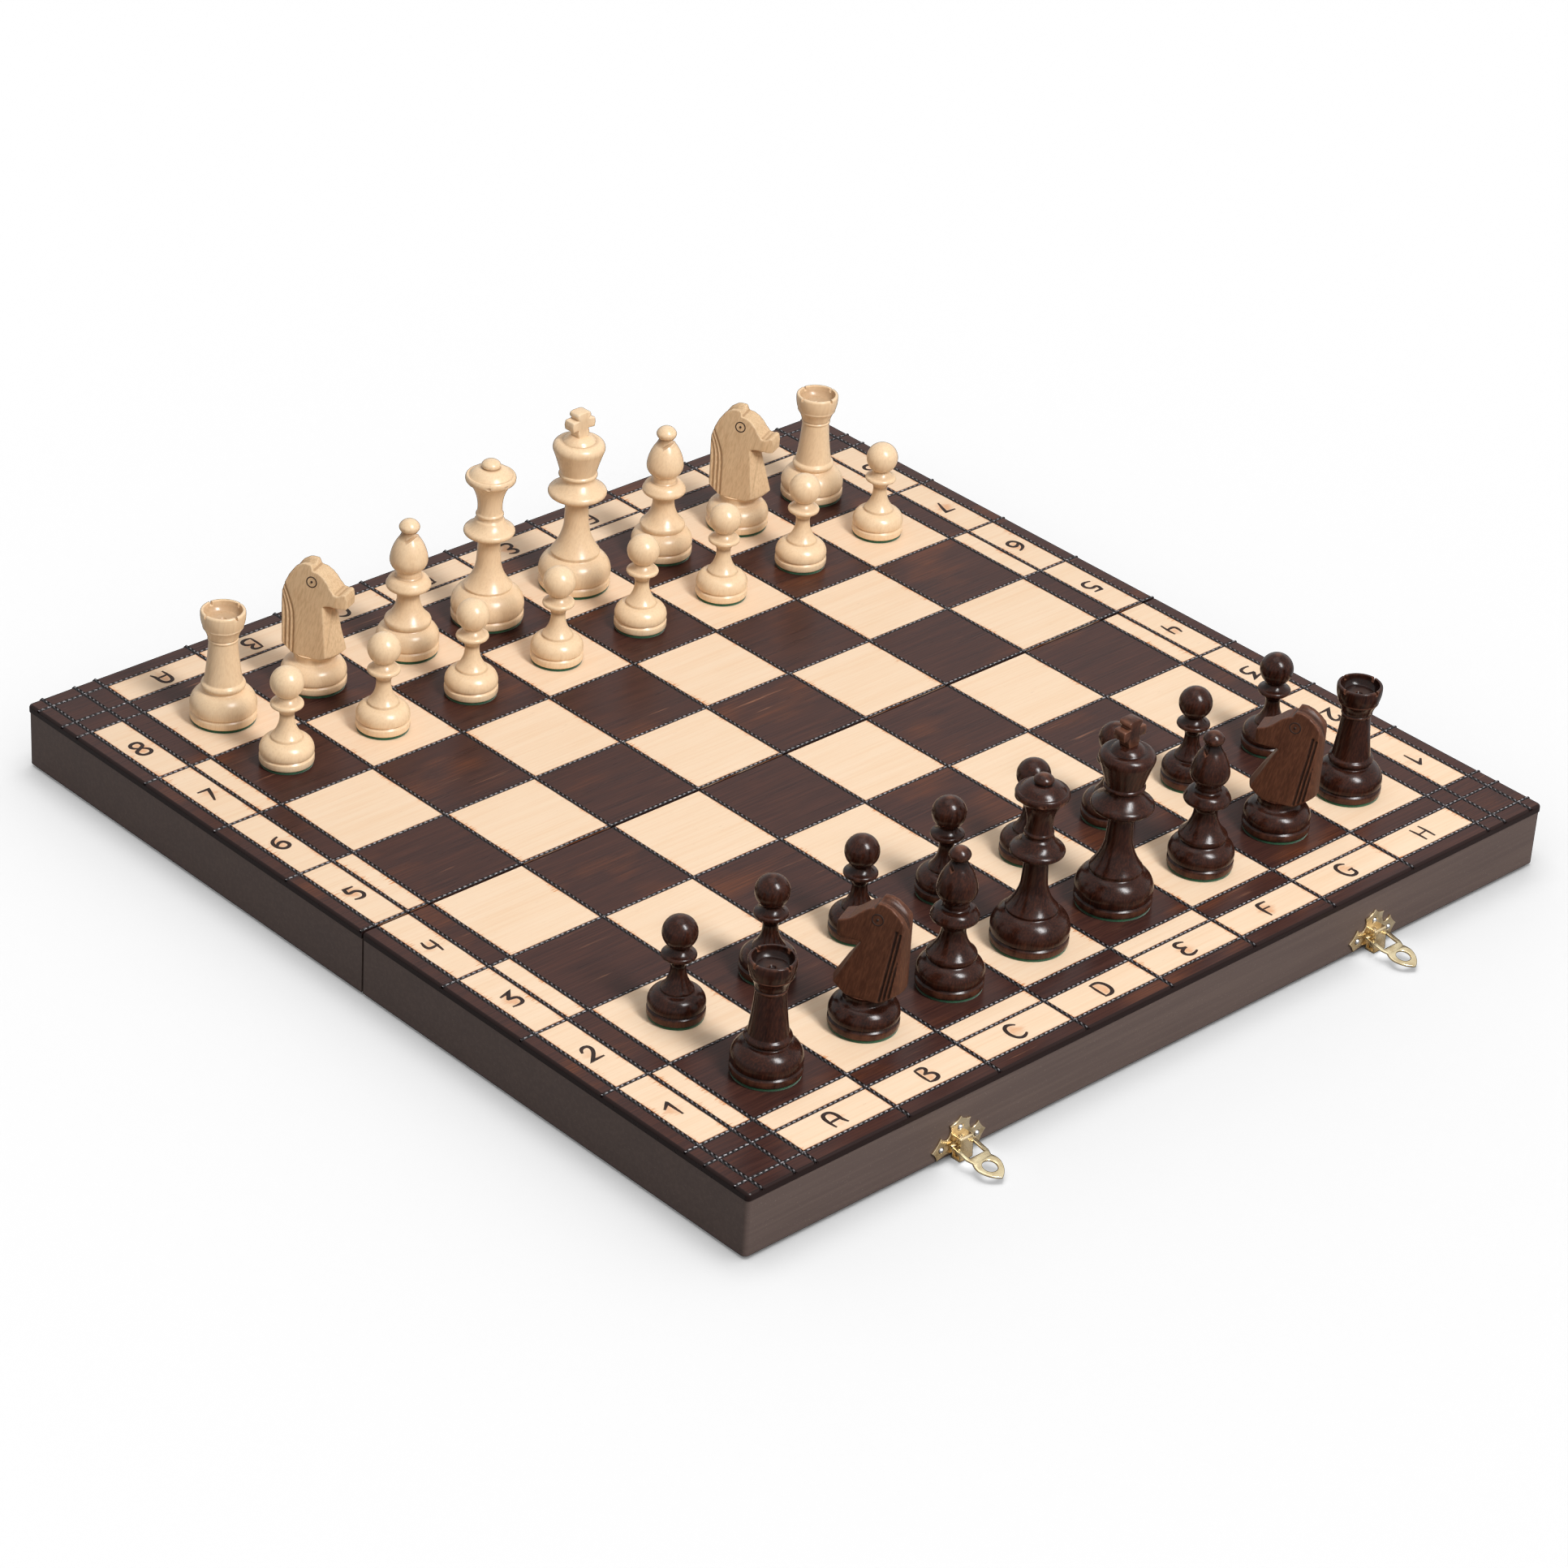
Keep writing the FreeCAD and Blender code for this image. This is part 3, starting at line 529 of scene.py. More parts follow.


# wood with upright grain, fine turning marks, rubbed edges, and creases darkened with stain and painted shade
def makeManWood(name, stain, share, wearStain, wearShare, creaseStainAndShadeColour, creaseStainAndShadeShare, shine, rough):
    material, place = newMaterial(name, {"IOR": 1.45, "Specular IOR Level": shine})
    wood, fibre, streaks = grained(place, stain, share, 1.9, (0, math.radians(90), math.radians(12)))
    wear, crease = (put(material.node_tree, "ShaderNodeAttribute", output="Fac", attribute_name=layer)
                    for layer in ("edgeWear", "crease"))
    ringTop = turnedMen["footRingTop"]
    footRim = ranged(overBoard(place), ringTop - 0.6, ringTop + 0.3, 0.25, 0)
    rubbed = ranged(wear + footRim + (noisy(place, 300, 3, 0.6) - 0.5) * 0.7, 0.36, 1, 0, wearShare)
    wood = blended(rubbed, wood, stains[wearStain])
    # creases darkened: partly stain, partly painted shade
    wood = blended(ranged(crease, 0.04, 0.3, 0, creaseStainAndShadeShare), wood, stains[creaseStainAndShadeColour])
    marks = noisy(place, 1, 2, 0.5, (60, 60, 2600))
    return dressed(material, wood, ranged(streaks, 0, 1, *rough), marks * 0.7 + fibre, 0.1)


def makeFelt():
    material, place = newMaterial(
        "greenFelt", {"Roughness": 0.95, "Sheen Weight": 0.4, "Sheen Roughness": 0.5, "IOR": 1.35})
    fuzz, clump = noisy(place, 2600, 4, 0.7), noisy(place, 500, 2, 0.5)
    base = blended(ranged(fuzz * 0.6 + clump * 0.4, 0.35, 0.65), stains["felt"], stains["feltPale"])
    return dressed(material, base, None, fuzz, 0.8, 0.0004)


def makeMetal(name, tint, rough):
    material, place = newMaterial(name, {"Metallic": 1})
    scuff, patch = noisy(place, 700, 4, 0.65), noisy(place, 260, 3, 0.5)
    base = blended(ranged(patch, 0.4, 0.75), stains[tint], stains[tint + "Dull"])
    return dressed(material, base, ranged(scuff, 0.3, 0.7, *rough), scuff, 0.12)


# for each wood: its stain, the streaks' share, the wear and its share, the crease colour and its share (stain
# and painted shade), the specular level and the roughness between its streaks and on them
menWoods = {
    "dark": ("darkTurnedWood", "darkMan", 0.5, "darkManWear", 0.7, "char", 0.85, 0.2, (0.16, 0.27)),
    "darkHead": ("darkSawnWood", "darkHead", 0.9, "darkManWear", 0.3, "char", 0.8, 0.15, (0.36, 0.5)),
    "lightHead": ("lightSawnWood", "lightHead", 0.6, "lightManWear", 0.12, "lightCreaseStainAndShade", 0.6, 0.25,
                  (0.45, 0.6)),
    "light": ("lightTurnedWood", "lightMan", 0.45, "lightManWear", 0.3, "lightCreaseStainAndShade", 0.7, 0.3,
              (0.24, 0.36)),
}
finishes = {
    "boardFace": makeBoardFace(),
    "files": makeTwist("pressedTwistAlong", board["fileTwist"], 0.4),
    "ranks": makeTwist("pressedTwistAcross", board["rankTwist"], 0.9),
    "burnt": makeBurnt(),
    "wall": makeWall(),
    "eye": makeEye(),
    **{name: makeManWood(*values) for name, values in menWoods.items()},
    "felt": makeFelt(),
    "brass": makeMetal("pressedBrass", "brass", (0.18, 0.32)),
    "haspBrass": makeMetal("polishedBrass", "haspBrass", (0.12, 0.24)),
    "steel": makeMetal("platedSteel", "steel", (0.22, 0.4)),
}
print("finishes made:", len(finishes))

# the finish of a plain node, by a part of its name
wornBy = {"top_panel": "boardFace", "_wall": "wall", "lining": "felt", "pins": "steel", "nails": "steel",
          "dark_": "dark", "light_": "light"}
for name, part in nodes.items():
    finish = next((finish for words, finish in wornBy.items() if words in name), "brass")
    part.data.materials.clear()
    part.data.materials.append(finishes[finish])


# two strands twisted about each other, from the origin up along Z
def twistedRun(length, radius):
    turns = length / (board["twistPitch"] * mm)
    steps = round(turns * 10)
    bm = bmesh.new()
    for vert in bmesh.ops.create_circle(bm, cap_ends=False, segments=12, radius=radius * mm)["verts"]:
        vert.co *= 0.5 + 0.5 * abs(math.cos(math.atan2(vert.co.y, vert.co.x)))     # pinched between the two
    bmesh.ops.spin(bm, geom=bm.verts[:] + bm.edges[:], cent=(0, 0, 0), axis=(0, 0, 1),
                   dvec=(0, 0, length / steps), angle=turns * math.tau, steps=steps,
                   use_merge=False, use_duplicate=False)
    return asMesh(facedOut(bm))


fileRun = twistedRun(farEdge - seamY - seamGap / 2, board["fileTwist"])
rankRun = twistedRun(2 * halfWidth, board["rankTwist"])
for side, half in ((-1, "near"), (1, "far")):
    z, seamEdge = topZ - board["twistSink"] * mm, seamY + side * seamGap / 2
    xs = [(file - 4) * across for file in range(9)] + stripsX + [-x for x in stripsX]
    ys = [extra + row * along for row in range(1, 5)] + stripsY + [seamLine] * (side > 0)
    for way, run, direction, places in (
            ("files", fileRun, (0, side, 0), [(x * mm, seamEdge, z) for x in xs]),
            ("ranks", rankRun, (1, 0, 0), [(-halfWidth, seamY + side * y * mm, z) for y in ys])):
        turn = Vector((0, 0, 1)).rotation_difference(Vector(direction)).to_matrix().to_4x4()
        finishPiece(joined([placed(asBmesh(run), Matrix.Translation(place) @ turn) for place in places]),
                    half + "_twist_lines_" + way, half + "_half", finishes[way],
                    smoothAngle=60, closed=False)
print("pressed lines made")

# strokes in a field 6 mm wide and 8 mm high; a point that comes twice is a corner
glyphs = {
    "A": [[(-2.4, -3.6), (-2.9, 0.6), (-1.9, 3.9), (1.1, 4.1), (2.3, 1.6), (1.9, -1.4), (2.9, -3.5)],
          [(-2.5, -0.7), (0, -0.3), (2, -0.5)]],
    "B": [[(-1.8, -3.7), (-2.1, 0), (-1.7, 3.7)], [(-1.9, 3.6), (1.4, 4.2), (2.2, 1.6), (-0.6, 0.4)],
          [(-0.8, 0.4), (2.6, 0.2), (3, -2.9), (0.2, -4.2), (-1.9, -3.6)]],
    "C": [[(2.6, 2.6), (0.8, 4.3), (-2, 3.4), (-3, 0), (-2.1, -3.3), (0.6, -4.2), (2.7, -2.6)]],
    "D": [[(-1.7, -3.7), (-2, 0), (-1.6, 3.6)],
          [(-2.2, 3.5), (1.2, 4.3), (3.2, 1.4), (2.8, -2.4), (0.4, -4.1), (-2.2, -3.6)]],
    "E": [[(2.2, 3), (0, 4.4), (-2.4, 3.2), (-1.6, 0.7), (0.9, 0.4)],
          [(0.9, 0.3), (-2.2, 0.1), (-3, -2.8), (-0.4, -4.4), (2.5, -3)]],
    "F": [[(-1.6, -3.9), (-1.9, -0.4), (-1.7, 2.6), (-1, 3.9), (2.8, 3.5)], [(-1.7, 0.5), (1.9, 0.4)]],
    "G": [[(2.5, 2.8), (0.6, 4.4), (-2.3, 3.2), (-2.8, -0.6), (-1.2, -4), (2, -3.7), (2.3, -1.6),
           (2.2, -0.5)],
          [(0.4, -0.7), (2.9, -0.4)]],
    "H": [[(-2.2, -3.9), (-2, 0.2), (-2.5, 3.9)], [(2.1, -3.9), (2.3, 0.2), (1.9, 3.9)],
          [(-2.1, -0.1), (2.3, 0.3)]],
    "1": [[(-2.6, 1.2), (0.6, 3.7), (0.6, 3.7), (0.7, -3.8)]],
    "2": [[(-2.2, 1.6), (-1.5, 4), (1.9, 4.1), (1.9, 0.9), (-2.3, -3.4), (-2.3, -3.4), (2.6, -3.3)]],
    "3": [[(-2.3, 3), (1.9, 3.9), (1.9, 3.9), (-0.6, 0.8), (-0.6, 0.8), (3, 0.2), (2.2, -4.2), (-2.4, -3.4)]],
    "4": [[(-1.6, 3.9), (-2.7, 0.3), (-0.6, -0.9), (2.3, -0.1)], [(1.7, 3.6), (1.9, 0), (1.3, -4)]],
    "5": [[(2.2, 3.6), (-1.5, 3.6), (-1.5, 3.6), (-2.2, 0.4), (1.2, 1.3), (3, -1.4), (1, -4.3),
           (-2.3, -3.1)]],
    "6": [[(1.7, 3.6), (-1.9, 2.7), (-2.7, -1.8), (-0.6, -4.2), (2.5, -3),
           (1.8, 0.3), (-0.9, 0.2), (-2.2, -1.5)]],
    "7": [[(-2.4, 3.5), (2.2, 3.3), (2.2, 3.3), (1.2, 0.2), (-0.4, -3.8)]],
    "8": [[(0.2, 0.2), (-2.6, 1.4), (-1.7, 4.3), (1.9, 4.3), (2.4, 1.4), (-0.2, 0.1), (-2.9, -1.2),
           (-1.9, -4.3), (2.1, -4.3), (2.9, -1.2), (0.2, 0.2)]],
}


# a curve of closed flat outlines, sizes in mm
def outlineCurve(outlines):
    curve = bpy.data.curves.new("outline", "CURVE")
    for outline in outlines:
        line = curve.splines.new("POLY")
        line.points.add(len(outline) - 1)
        for point, (x, y) in zip(line.points, outline):
            point.co = (x * mm, y * mm, 0, 1)
        line.use_cyclic_u = True
    return curve


def curveSolid(curve, apart):
    holder = added("solid", curve)
    bm = evaluated(holder)
    bpy.data.objects.remove(holder)
    bmesh.ops.remove_doubles(bm, verts=bm.verts, dist=apart)
    return facedOut(bm)


# closed bars along smooth lines through points in mm
def sweptBar(lines, section=None, radius=0, dimensions="2D", endShare=1):
    curve = bpy.data.curves.new("bar", "CURVE")
    curve.dimensions, curve.resolution_u = dimensions, 6
    if section:
        curve.bevel_mode, curve.bevel_object = "OBJECT", section
    else:
        curve.bevel_depth, curve.bevel_resolution, curve.fill_mode = radius * mm, 5, "FULL"
    curve.use_fill_caps = True
    for points in lines:
        line = curve.splines.new("NURBS")
        line.points.add(len(points) - 1)
        for point, place in zip(line.points, points):
            x, y, z = (*place, 0)[:3]
            point.co = (x * mm, y * mm, z * mm, 1)
        line.points[0].radius = line.points[-1].radius = endShare
        line.use_endpoint_u, line.order_u = True, 3
    return curveSolid(curve, 1e-7)


# each sign stands twice, upright in front or at the left, and turned round at the back or right
def layLettering():
    half, ridge, rise = lettering["strokeHalf"], lettering["ridge"], lettering["rise"]
    low, size = -lettering["sunk"], lettering["size"]
    section = added("section", outlineCurve([[(-half, low), (half, low), (half, 0), (ridge, rise),
                                              (0, lettering["hollow"]), (-ridge, rise), (-half, 0)]]))
    halves = {"near": bmesh.new(), "far": bmesh.new()}
    for index, sign in enumerate("ABCDEFGH12345678"):
        strokes = [[(x * size, y * size) for x, y in stroke] for stroke in glyphs[sign]]
        bm = sweptBar(strokes, section, endShare=lettering["endShare"])
        cell = index % 8 - 3.5
        if sign.isalpha():
            x, y = cell * across, -lettering["fromSeam"]
            places = [(x, y, 0), (x, -y, 180)]
        else:
            y = math.copysign((along + extra) / 2 if abs(cell) < 1 else abs(cell) * along + extra, cell)
            places = [(-lettering["fromMiddle"], y, 0), (lettering["fromMiddle"], y, 180)]
        for x, y, turn in places:
            pour(halves["near" if y < 0 else "far"], moved(bm.copy(), turn, (x * mm, seamY + y * mm, topZ)))
        bm.free()
    bpy.data.objects.remove(section)
    for side, bm in halves.items():
        finishPiece(bm, side + "_burnt_signs", side + "_half", finishes["burnt"])


layLettering()
print("lettering made")

# each profile above the shoulder, as radius and height: a pair is a straight cut, four numbers an arc's
# middle and end, and one number a dome on the axis
profiles = {
    "pawn": [(6.1, 0.2), (6.1, 1), (3.9, 4.4, 2.9, 10.6), (4.2, 12.7, 6.2, 14),
             (6.5, 14.8, 6.1, 15.6), (4.7, 16.3, 3.5, 17.7), (3.5, 18.4), (30.4,)],
    "rook": [(7.8, 0.7), (8.7, 1.9, 7.9, 3.3), (7.5, 3.6), (6.4, 11.7, 5.6, 21.1),
             (6, 21.7, 5.6, 22.3), (6, 22.9), (6.8, 25.3, 7.9, 27.1), (7.8, 27.5),
             (8.5, 30.1, 8.7, 33.5), (8.4, 34.1), (7.5, 34.1), (7.1, 31.9, 5.9, 30.3),
             (1.3, 30.1), (0.9, 29.3), (0, 29.2)],
    "knight": [(8, 0.6), (7.7, 1.8), (7.9, 3.4), (8.6, 4.3), (0, 4.3)],
    "bishop": [(8.7, 0.4), (9.3, 1.4, 9.1, 2.9), (6, 6.7, 4.5, 12.7), (5.4, 15, 8.2, 16.6),
               (9, 17.8, 8.5, 19.2), (7.2, 21, 5.2, 21.5), (4.7, 22.2), (4.9, 23.2, 4.7, 24.1),
               (4.9, 24.6), (7, 26.8, 7.5, 29.8), (6.3, 34.4, 3.9, 38.6), (3.1, 40.2), (2.9, 41.2),
               (3.8, 42.2, 4.1, 43.5), (46.4,)],
    "queen": [(9.6, 0.4), (9.9, 1.4), (6.4, 6.6, 4.9, 13), (4.5, 20), (5.8, 23.3, 9.7, 24.4),
              (10.3, 25.5, 9.7, 26.7), (7.4, 28.3, 5.9, 30.6), (5.1, 31.2), (5.1, 32.2),
              (5.6, 33, 5.1, 33.8), (4.95, 34.6), (5.4, 40.6, 7.2, 45.2), (8.2, 46.6, 9.6, 47.6),
              (10.1, 49, 9.5, 50.5), (8.7, 50.3), (6.4, 52.5, 3.3, 53.5), (3.8, 54.6, 3.2, 55.8),
              (57,)],
    "king": [(9.8, 0.4), (10.1, 1.7), (6.9, 7.1, 5.1, 13.4), (4.75, 20.9), (6.2, 25.5, 11, 26.9),
             (11.9, 28.2, 11.3, 29.6), (9, 31.4, 7.3, 33.3), (7, 33.9), (7, 35.2),
             (7.9, 36.1, 7.3, 37.1), (8.6, 41.9, 10.3, 46.9), (10.2, 49.6, 8, 51.1), (6.7, 50.9),
             (5.3, 52.6, 2.6, 53.5), (0, 53.5)],
}


def domeMiddle(start, top):
    centre = (start[1] ** 2 + start[0] ** 2 - top ** 2) / (2 * (start[1] - top))
    radius = top - centre
    angle = math.atan2(start[0], start[1] - centre) / 2
    return radius * math.sin(angle), centre + radius * math.cos(angle)


def turnedOutline(kind):
    foot, shoulder, shoulderHeight = turnedMen["feet"][kind]
    edge, groove, pad, ring, step = (turnedMen[key] for key in
                                     ("footEdge", "footGroove", "pad", "footRingTop", "curveStep"))
    bulge = math.sqrt(0.5)
    slope = edge * (1 - bulge)
    half = groove * 2 / 3
    domeFoot = ring + 2 * half
    cuts = [(foot - slope, pad + slope, foot, pad + edge), (foot, ring),
            (foot - groove, ring + half), (foot - groove / 5, domeFoot),
            (shoulder + (foot - shoulder) * bulge, domeFoot + (shoulderHeight - domeFoot) * bulge,
             shoulder, shoulderHeight)]
    for cut in profiles[kind]:                  # its heights come second in each pair, or alone
        lift = [shoulderHeight * (index % 2 or len(cut) == 1) for index in range(len(cut))]
        cuts.append(tuple(map(sum, zip(cut, lift))))
    points = [(0, pad), (foot - edge, pad)]
    for cut in cuts:
        if len(cut) == 2:
            points.append(cut)
        elif len(cut) == 1:
            points += arcPoints(points[-1], domeMiddle(points[-1], cut[0]), (0, cut[0]), step)
        else:
            points += arcPoints(points[-1], cut[:2], cut[2:], step)
    return [(max(0, radius), height) for radius, height in points]


def turnedBody(kind):
    return turned(turnedOutline(kind), turnedMen["segments"], 24, turnedMen["cornerRound"])


# how strongly each point stands out (rubbed pale) or lies in a crease (darkened: stain and painted shade)
def markWear(bm):
    facedOut(bm)
    layers = [bm.verts.layers.float.new(name) for name in ("edgeWear", "crease")]
    for vert in bm.verts:
        bends = [edge.calc_face_angle_signed(0) / max(edge.calc_length(), 1e-6) for edge in vert.link_edges
                 if len(edge.link_faces) == 2]
        bend = sum(bends) / max(1, len(bends)) * mm
        for layer, value in zip(layers, (bend, -bend)):
            vert[layer] = min(1, max(0, value))
    for layer in layers:
        for _ in range(3):
            spread = {vert: sum(edge.other_vert(vert)[layer] for edge in vert.link_edges)
                      / len(vert.link_edges) for vert in bm.verts if vert.link_edges}
            for vert, value in spread.items():
                vert[layer] = (vert[layer] + value) / 2
    return bm


def midpoint(values):
    return (min(values) + max(values)) / 2


# the middle of a man's foot on the board
def axisPlace(name):
    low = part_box(name)[0].z
    feet = [vert.co for vert in nodes[name].data.vertices if vert.co.z < low + 0.5 * mm]
    return Vector((midpoint([co.x for co in feet]), midpoint([co.y for co in feet]), low))


menCuts = {
    "rookNotch": 1.1, "rookNotchDepth": 1.5, "rookHollow": 7.3, "rookFloor": 42, "rookStain": 0.25,
    "queenNicks": 8, "nickHalf": 2.2, "nickDepth": 0.9, "crownRadius": 10.1, "nickHeight": 63.2,
    "mitreCut": 1.2, "mitreSlope": 38, "mitreHeight": 49.7, "mitreFloor": 0,
    "crossThickness": 5.4, "crossSeat": 67.6,
    "bishopTurn": {"dark": 105, "light": -60}, "knightTurn": {"dark": 114, "light": -66},
}
crossHalf = [(2.4, -0.3), (2.9, 2), (2.4, 3.6), (5.6, 3.3), (6, 5.4), (5.6, 7.4), (2.5, 7.6),
             (3.6, 9.2), (3.2, 10.4), (1.6, 10.8)]


def rookBody(bm):
    top = max(vert.co.z for vert in bm.verts)
    half, reach = menCuts["rookNotch"] / 2 * mm, 12 * mm
    floor = top - menCuts["rookNotchDepth"] * mm
    return carve(bm, [block(-half, half, -reach, reach, floor, top + mm),
                      block(-reach, reach, -half, half, floor, top + mm)])


def queenBody(bm):
    half, depth, count = menCuts["nickHalf"], menCuts["nickDepth"], menCuts["queenNicks"]
    outside, bottom = menCuts["crownRadius"] + depth, menCuts["nickHeight"] * mm - 2 * half * mm
    corners = [(x * mm, y * mm, bottom)
               for x, y in ((-half, outside), (half, outside), (0, outside - 2 * depth))]
    return carve(bm, [moved(prism(corners, (0, 0, 2 * half * mm)), 360 * index / count, (0, 0, 0))
                      for index in range(count)])


def bishopBody(bm):
    half, reach = menCuts["mitreCut"] / 2 * mm, 10 * mm
    saw = block(menCuts["mitreFloor"] * mm, reach, -reach, reach, -half, half)
    slope = rotation(-menCuts["mitreSlope"], "Y")
    return carve(bm, [placed(saw, shift(0, 0, menCuts["mitreHeight"]) @ slope)])


def kingBody(bm):
    thick, seat = menCuts["crossThickness"], menCuts["crossSeat"]
    outline = [(-x, z) for x, z in reversed(crossHalf)] + crossHalf
    corners = [(x * mm, -thick / 2 * mm, (z + seat) * mm) for x, z in outline]
    return pour(bm, bevelSharp(prism(corners, (0, thick * mm, 0)), 20, 0.45 * mm, 3))


horse = {
    "seat": 14, "shift": {"light": 0.9, "dark": -1.4},
    "flatLow": 8.2, "flatHigh": 3.4, "flatHeight": 45,
    "manePoints": {
        "light": [[(-12.6 + 0.3 * k, 40.5 + 2.2 * k), (-10.9 + 1.6 * k, 36.5), (-10.1 + 1.75 * k, 30),
                   (-10 + 1.75 * k, 22), (-9.3 + 1.6 * k, 12)] for k in range(3)],
        "dark": [[(-13.2 + 1.5 * k, 43.5 + 0.8 * k), (-12.2 + 1.5 * k, 36), (-10.7 + 1.5 * k, 26),
                  (-9.2 + 1.5 * k, 14)] for k in range(3)],
    },
    "maneHalf": 0.62, "maneDeep": 0.75,
    "crest": {
        "light": [(1, 55.6), (-2.2, 55.7), (-4.6, 55.3), (-8, 53.3), (-10.9, 49.4), (-13.2, 45.4),
                  (-15.2, 41)],
        "dark": [(-1, 55.2), (-2.4, 55.1), (-4.7, 55.2), (-8, 54.1), (-11.4, 51.8), (-13.6, 49.6),
                 (-15.6, 45.6), (-17, 41)],
    },
    "crestRadius": 2.7,
    "eye": {"light": (0.3, 47.5), "dark": (-2.8, 47.6)}, "eyeRing": 2.1, "eyeLine": 0.28, "eyeDot": 0.55,
    "mouth": {"light": [(15.6, 41.6, -24), (15.6, 39.6, -10)], "dark": [(12.9, 39, -14), (12.9, 42, 30)]},
    "chestFlat": {"light": [(5.4, 38.2), (9.2, 11)],
                  "dark": [(2.6, 37.2), (11.2, 19.5), (11.4, 11)]},
    "chestRidge": {"light": [(7.8, 38.2), (15.8, 11)],
                   "dark": [(3.8, 38), (13.6, 20.6), (14.5, 11)]},
    "raised": 1.5, "voxel": 0.3,
}


# half the thickness of a sawn head at a height above the board, in mm
def flatHalf(z):
    share = (z - horse["seat"]) / horse["flatHeight"]
    return horse["flatLow"] + (horse["flatHigh"] - horse["flatLow"]) * share


# from (forward, up the flat, out of it) to the head's own frame, for the flat on the +Y or -Y side
def flatFrame(side):
    lean = math.atan2(horse["flatLow"] - horse["flatHigh"], horse["flatHeight"])
    up = Vector((0, -side * math.sin(lean), math.cos(lean)))
    out = Vector((0, side * math.cos(lean), math.sin(lean)))
    matrix = Matrix((Vector((1, 0, 0)), up, out)).transposed().to_4x4()
    return shift(0, side * flatHalf(horse["seat"]), horse["seat"]) @ matrix


# the convex block round some points in mm
def wedge(points):
    bm = bmesh.new()
    for place in points:
        bm.verts.new(Vector(place) * mm)
    made = bmesh.ops.convex_hull(bm, input=bm.verts)
    bmesh.ops.delete(bm, geom=onlyVerts(made["geom_interior"] + made["geom_unused"]), context="VERTS")
    return facedOut(bm)


# two facets each side that meet in a ridge down the chest
def chestCuts(colour):
    pairs = list(zip(horse["chestFlat"][colour], horse["chestRidge"][colour]))
    cuts = []
    for side in (-1, 1):
        for ends in zip(pairs, pairs[1:]):
            points = []
            for (edgeX, edgeZ), (middleX, middleZ) in ends:
                edge = Vector((edgeX, side * flatHalf(edgeZ), edgeZ))
                middle = Vector((middleX, 0, middleZ))
                edge += (edge - middle) * 0.15                # a little past the flat
                for place in (edge, middle):
                    points += [tuple(place), (place.x + 25, place.y, place.z)]
            cuts.append(wedge(points))
    return cuts


# keeps the connected part that reaches highest
def highestPart(bm):
    top = max(bm.verts, key=lambda vert: vert.co.z)
    part, front = {top}, [top]
    while front:
        near = {vert for edge in front.pop().link_edges for vert in edge.verts} - part
        part |= near
        front += near
    bmesh.ops.delete(bm, geom=[vert for vert in bm.verts if vert not in part], context="VERTS")
    return bm


def remeshed(bm):
    holder = added("head", asMesh(bm))
    step = holder.modifiers.new("even", "REMESH")
    step.mode, step.voxel_size = "VOXEL", horse["voxel"] * mm
    result = evaluated(holder)
    bpy.data.objects.remove(holder)
    for _ in range(3):
        bmesh.ops.smooth_vert(result, verts=result.verts, factor=0.5, use_axis_x=True, use_axis_y=True,
                              use_axis_z=True)
    return result


# the sawn head of one colour in its own frame, facing +X, with its grooves and facets carved
def horseHead(colour):
    name = colour + "_knight_b"
    forward = horse["shift"][colour]
    bm = asBmesh(nodes[name].data)
    bmesh.ops.remove_doubles(bm, verts=bm.verts, dist=1e-6)
    bm = highestPart(placed(bm, shift(-forward, 0, 0) @ rotation(-menCuts["knightTurn"][colour], "Z")
                            @ Matrix.Translation(-axisPlace(name))))
    half, reach = horse["maneHalf"], 30 * mm
    section = added("section", outlineCurve([[(0, -horse["maneDeep"]), (half, 0), (half, 0.5), (-half, 0.5),
                                              (-half, 0)]]))
    foot = (horse["seat"] + horse["raised"]) * mm
    cuts = chestCuts(colour) + [block(-reach, reach, -reach, reach, foot - 9 * mm, foot)]
    for side in (-1, 1):
        for groove in horse["manePoints"][colour]:
            cut = sweptBar([[(x, z - horse["seat"]) for x, z in groove]], section)
            cuts.append(facedOut(placed(cut, flatFrame(side))))
    bpy.data.objects.remove(section)
    crest = [(x, 0, z) for x, z in horse["crest"][colour]]
    cuts.append(sweptBar([crest], radius=horse["crestRadius"], dimensions="3D"))
    for x, z, slant in horse["mouth"][colour]:
        slot = wedge([(x, y, z) for y in (-6, 6) for x, z in ((0.3, -0.55), (0.3, 0.55), (-1.1, 0))])
        cuts.append(placed(slot, shift(x, 0, z) @ rotation(slant, "X")))
    return placed(remeshed(carve(bm, cuts)), shift(forward, 0, 0))


# a burnt ring and dot let into each flat
def horseEyes(colour):
    x, z = horse["eye"][colour]
    parts = []
    for side in (-1, 1):
        line, dot = bmesh.new(), bmesh.new()
        bmesh.ops.create_circle(line, segments=8, radius=horse["eyeLine"] * mm,
                                matrix=shift(horse["eyeRing"], 0, 0) @ rotation(90, "X"))
        fullSpin(line, line.verts[:] + line.edges[:], 40)
        bmesh.ops.create_uvsphere(dot, u_segments=12, v_segments=8, radius=horse["eyeDot"] * mm)
        matrix = shift(horse["shift"][colour], 0, 0) @ flatFrame(side) @ shift(x, z - horse["seat"], -0.12)
        parts += [placed(facedOut(part), matrix) for part in (line, dot)]
    return joined(parts)


special = {"rook": rookBody, "queen": queenBody, "bishop": bishopBody, "king": kingBody}


# one finished body of a kind, standing at the origin
def menMaster(kind):
    bm = turnedBody(kind)
    if kind in special:
        bm = special[kind](bm)
    markWear(bm)
    if kind == "rook":                      # the hollow top is darkened as its creases are: stain and painted shade
        crease = bm.verts.layers.float["crease"]
        for vert in bm.verts:
            if vert.co.xy.length < menCuts["rookHollow"] * mm and vert.co.z > menCuts["rookFloor"] * mm:
                vert[crease] = menCuts["rookStain"]
    return asMesh(bm)


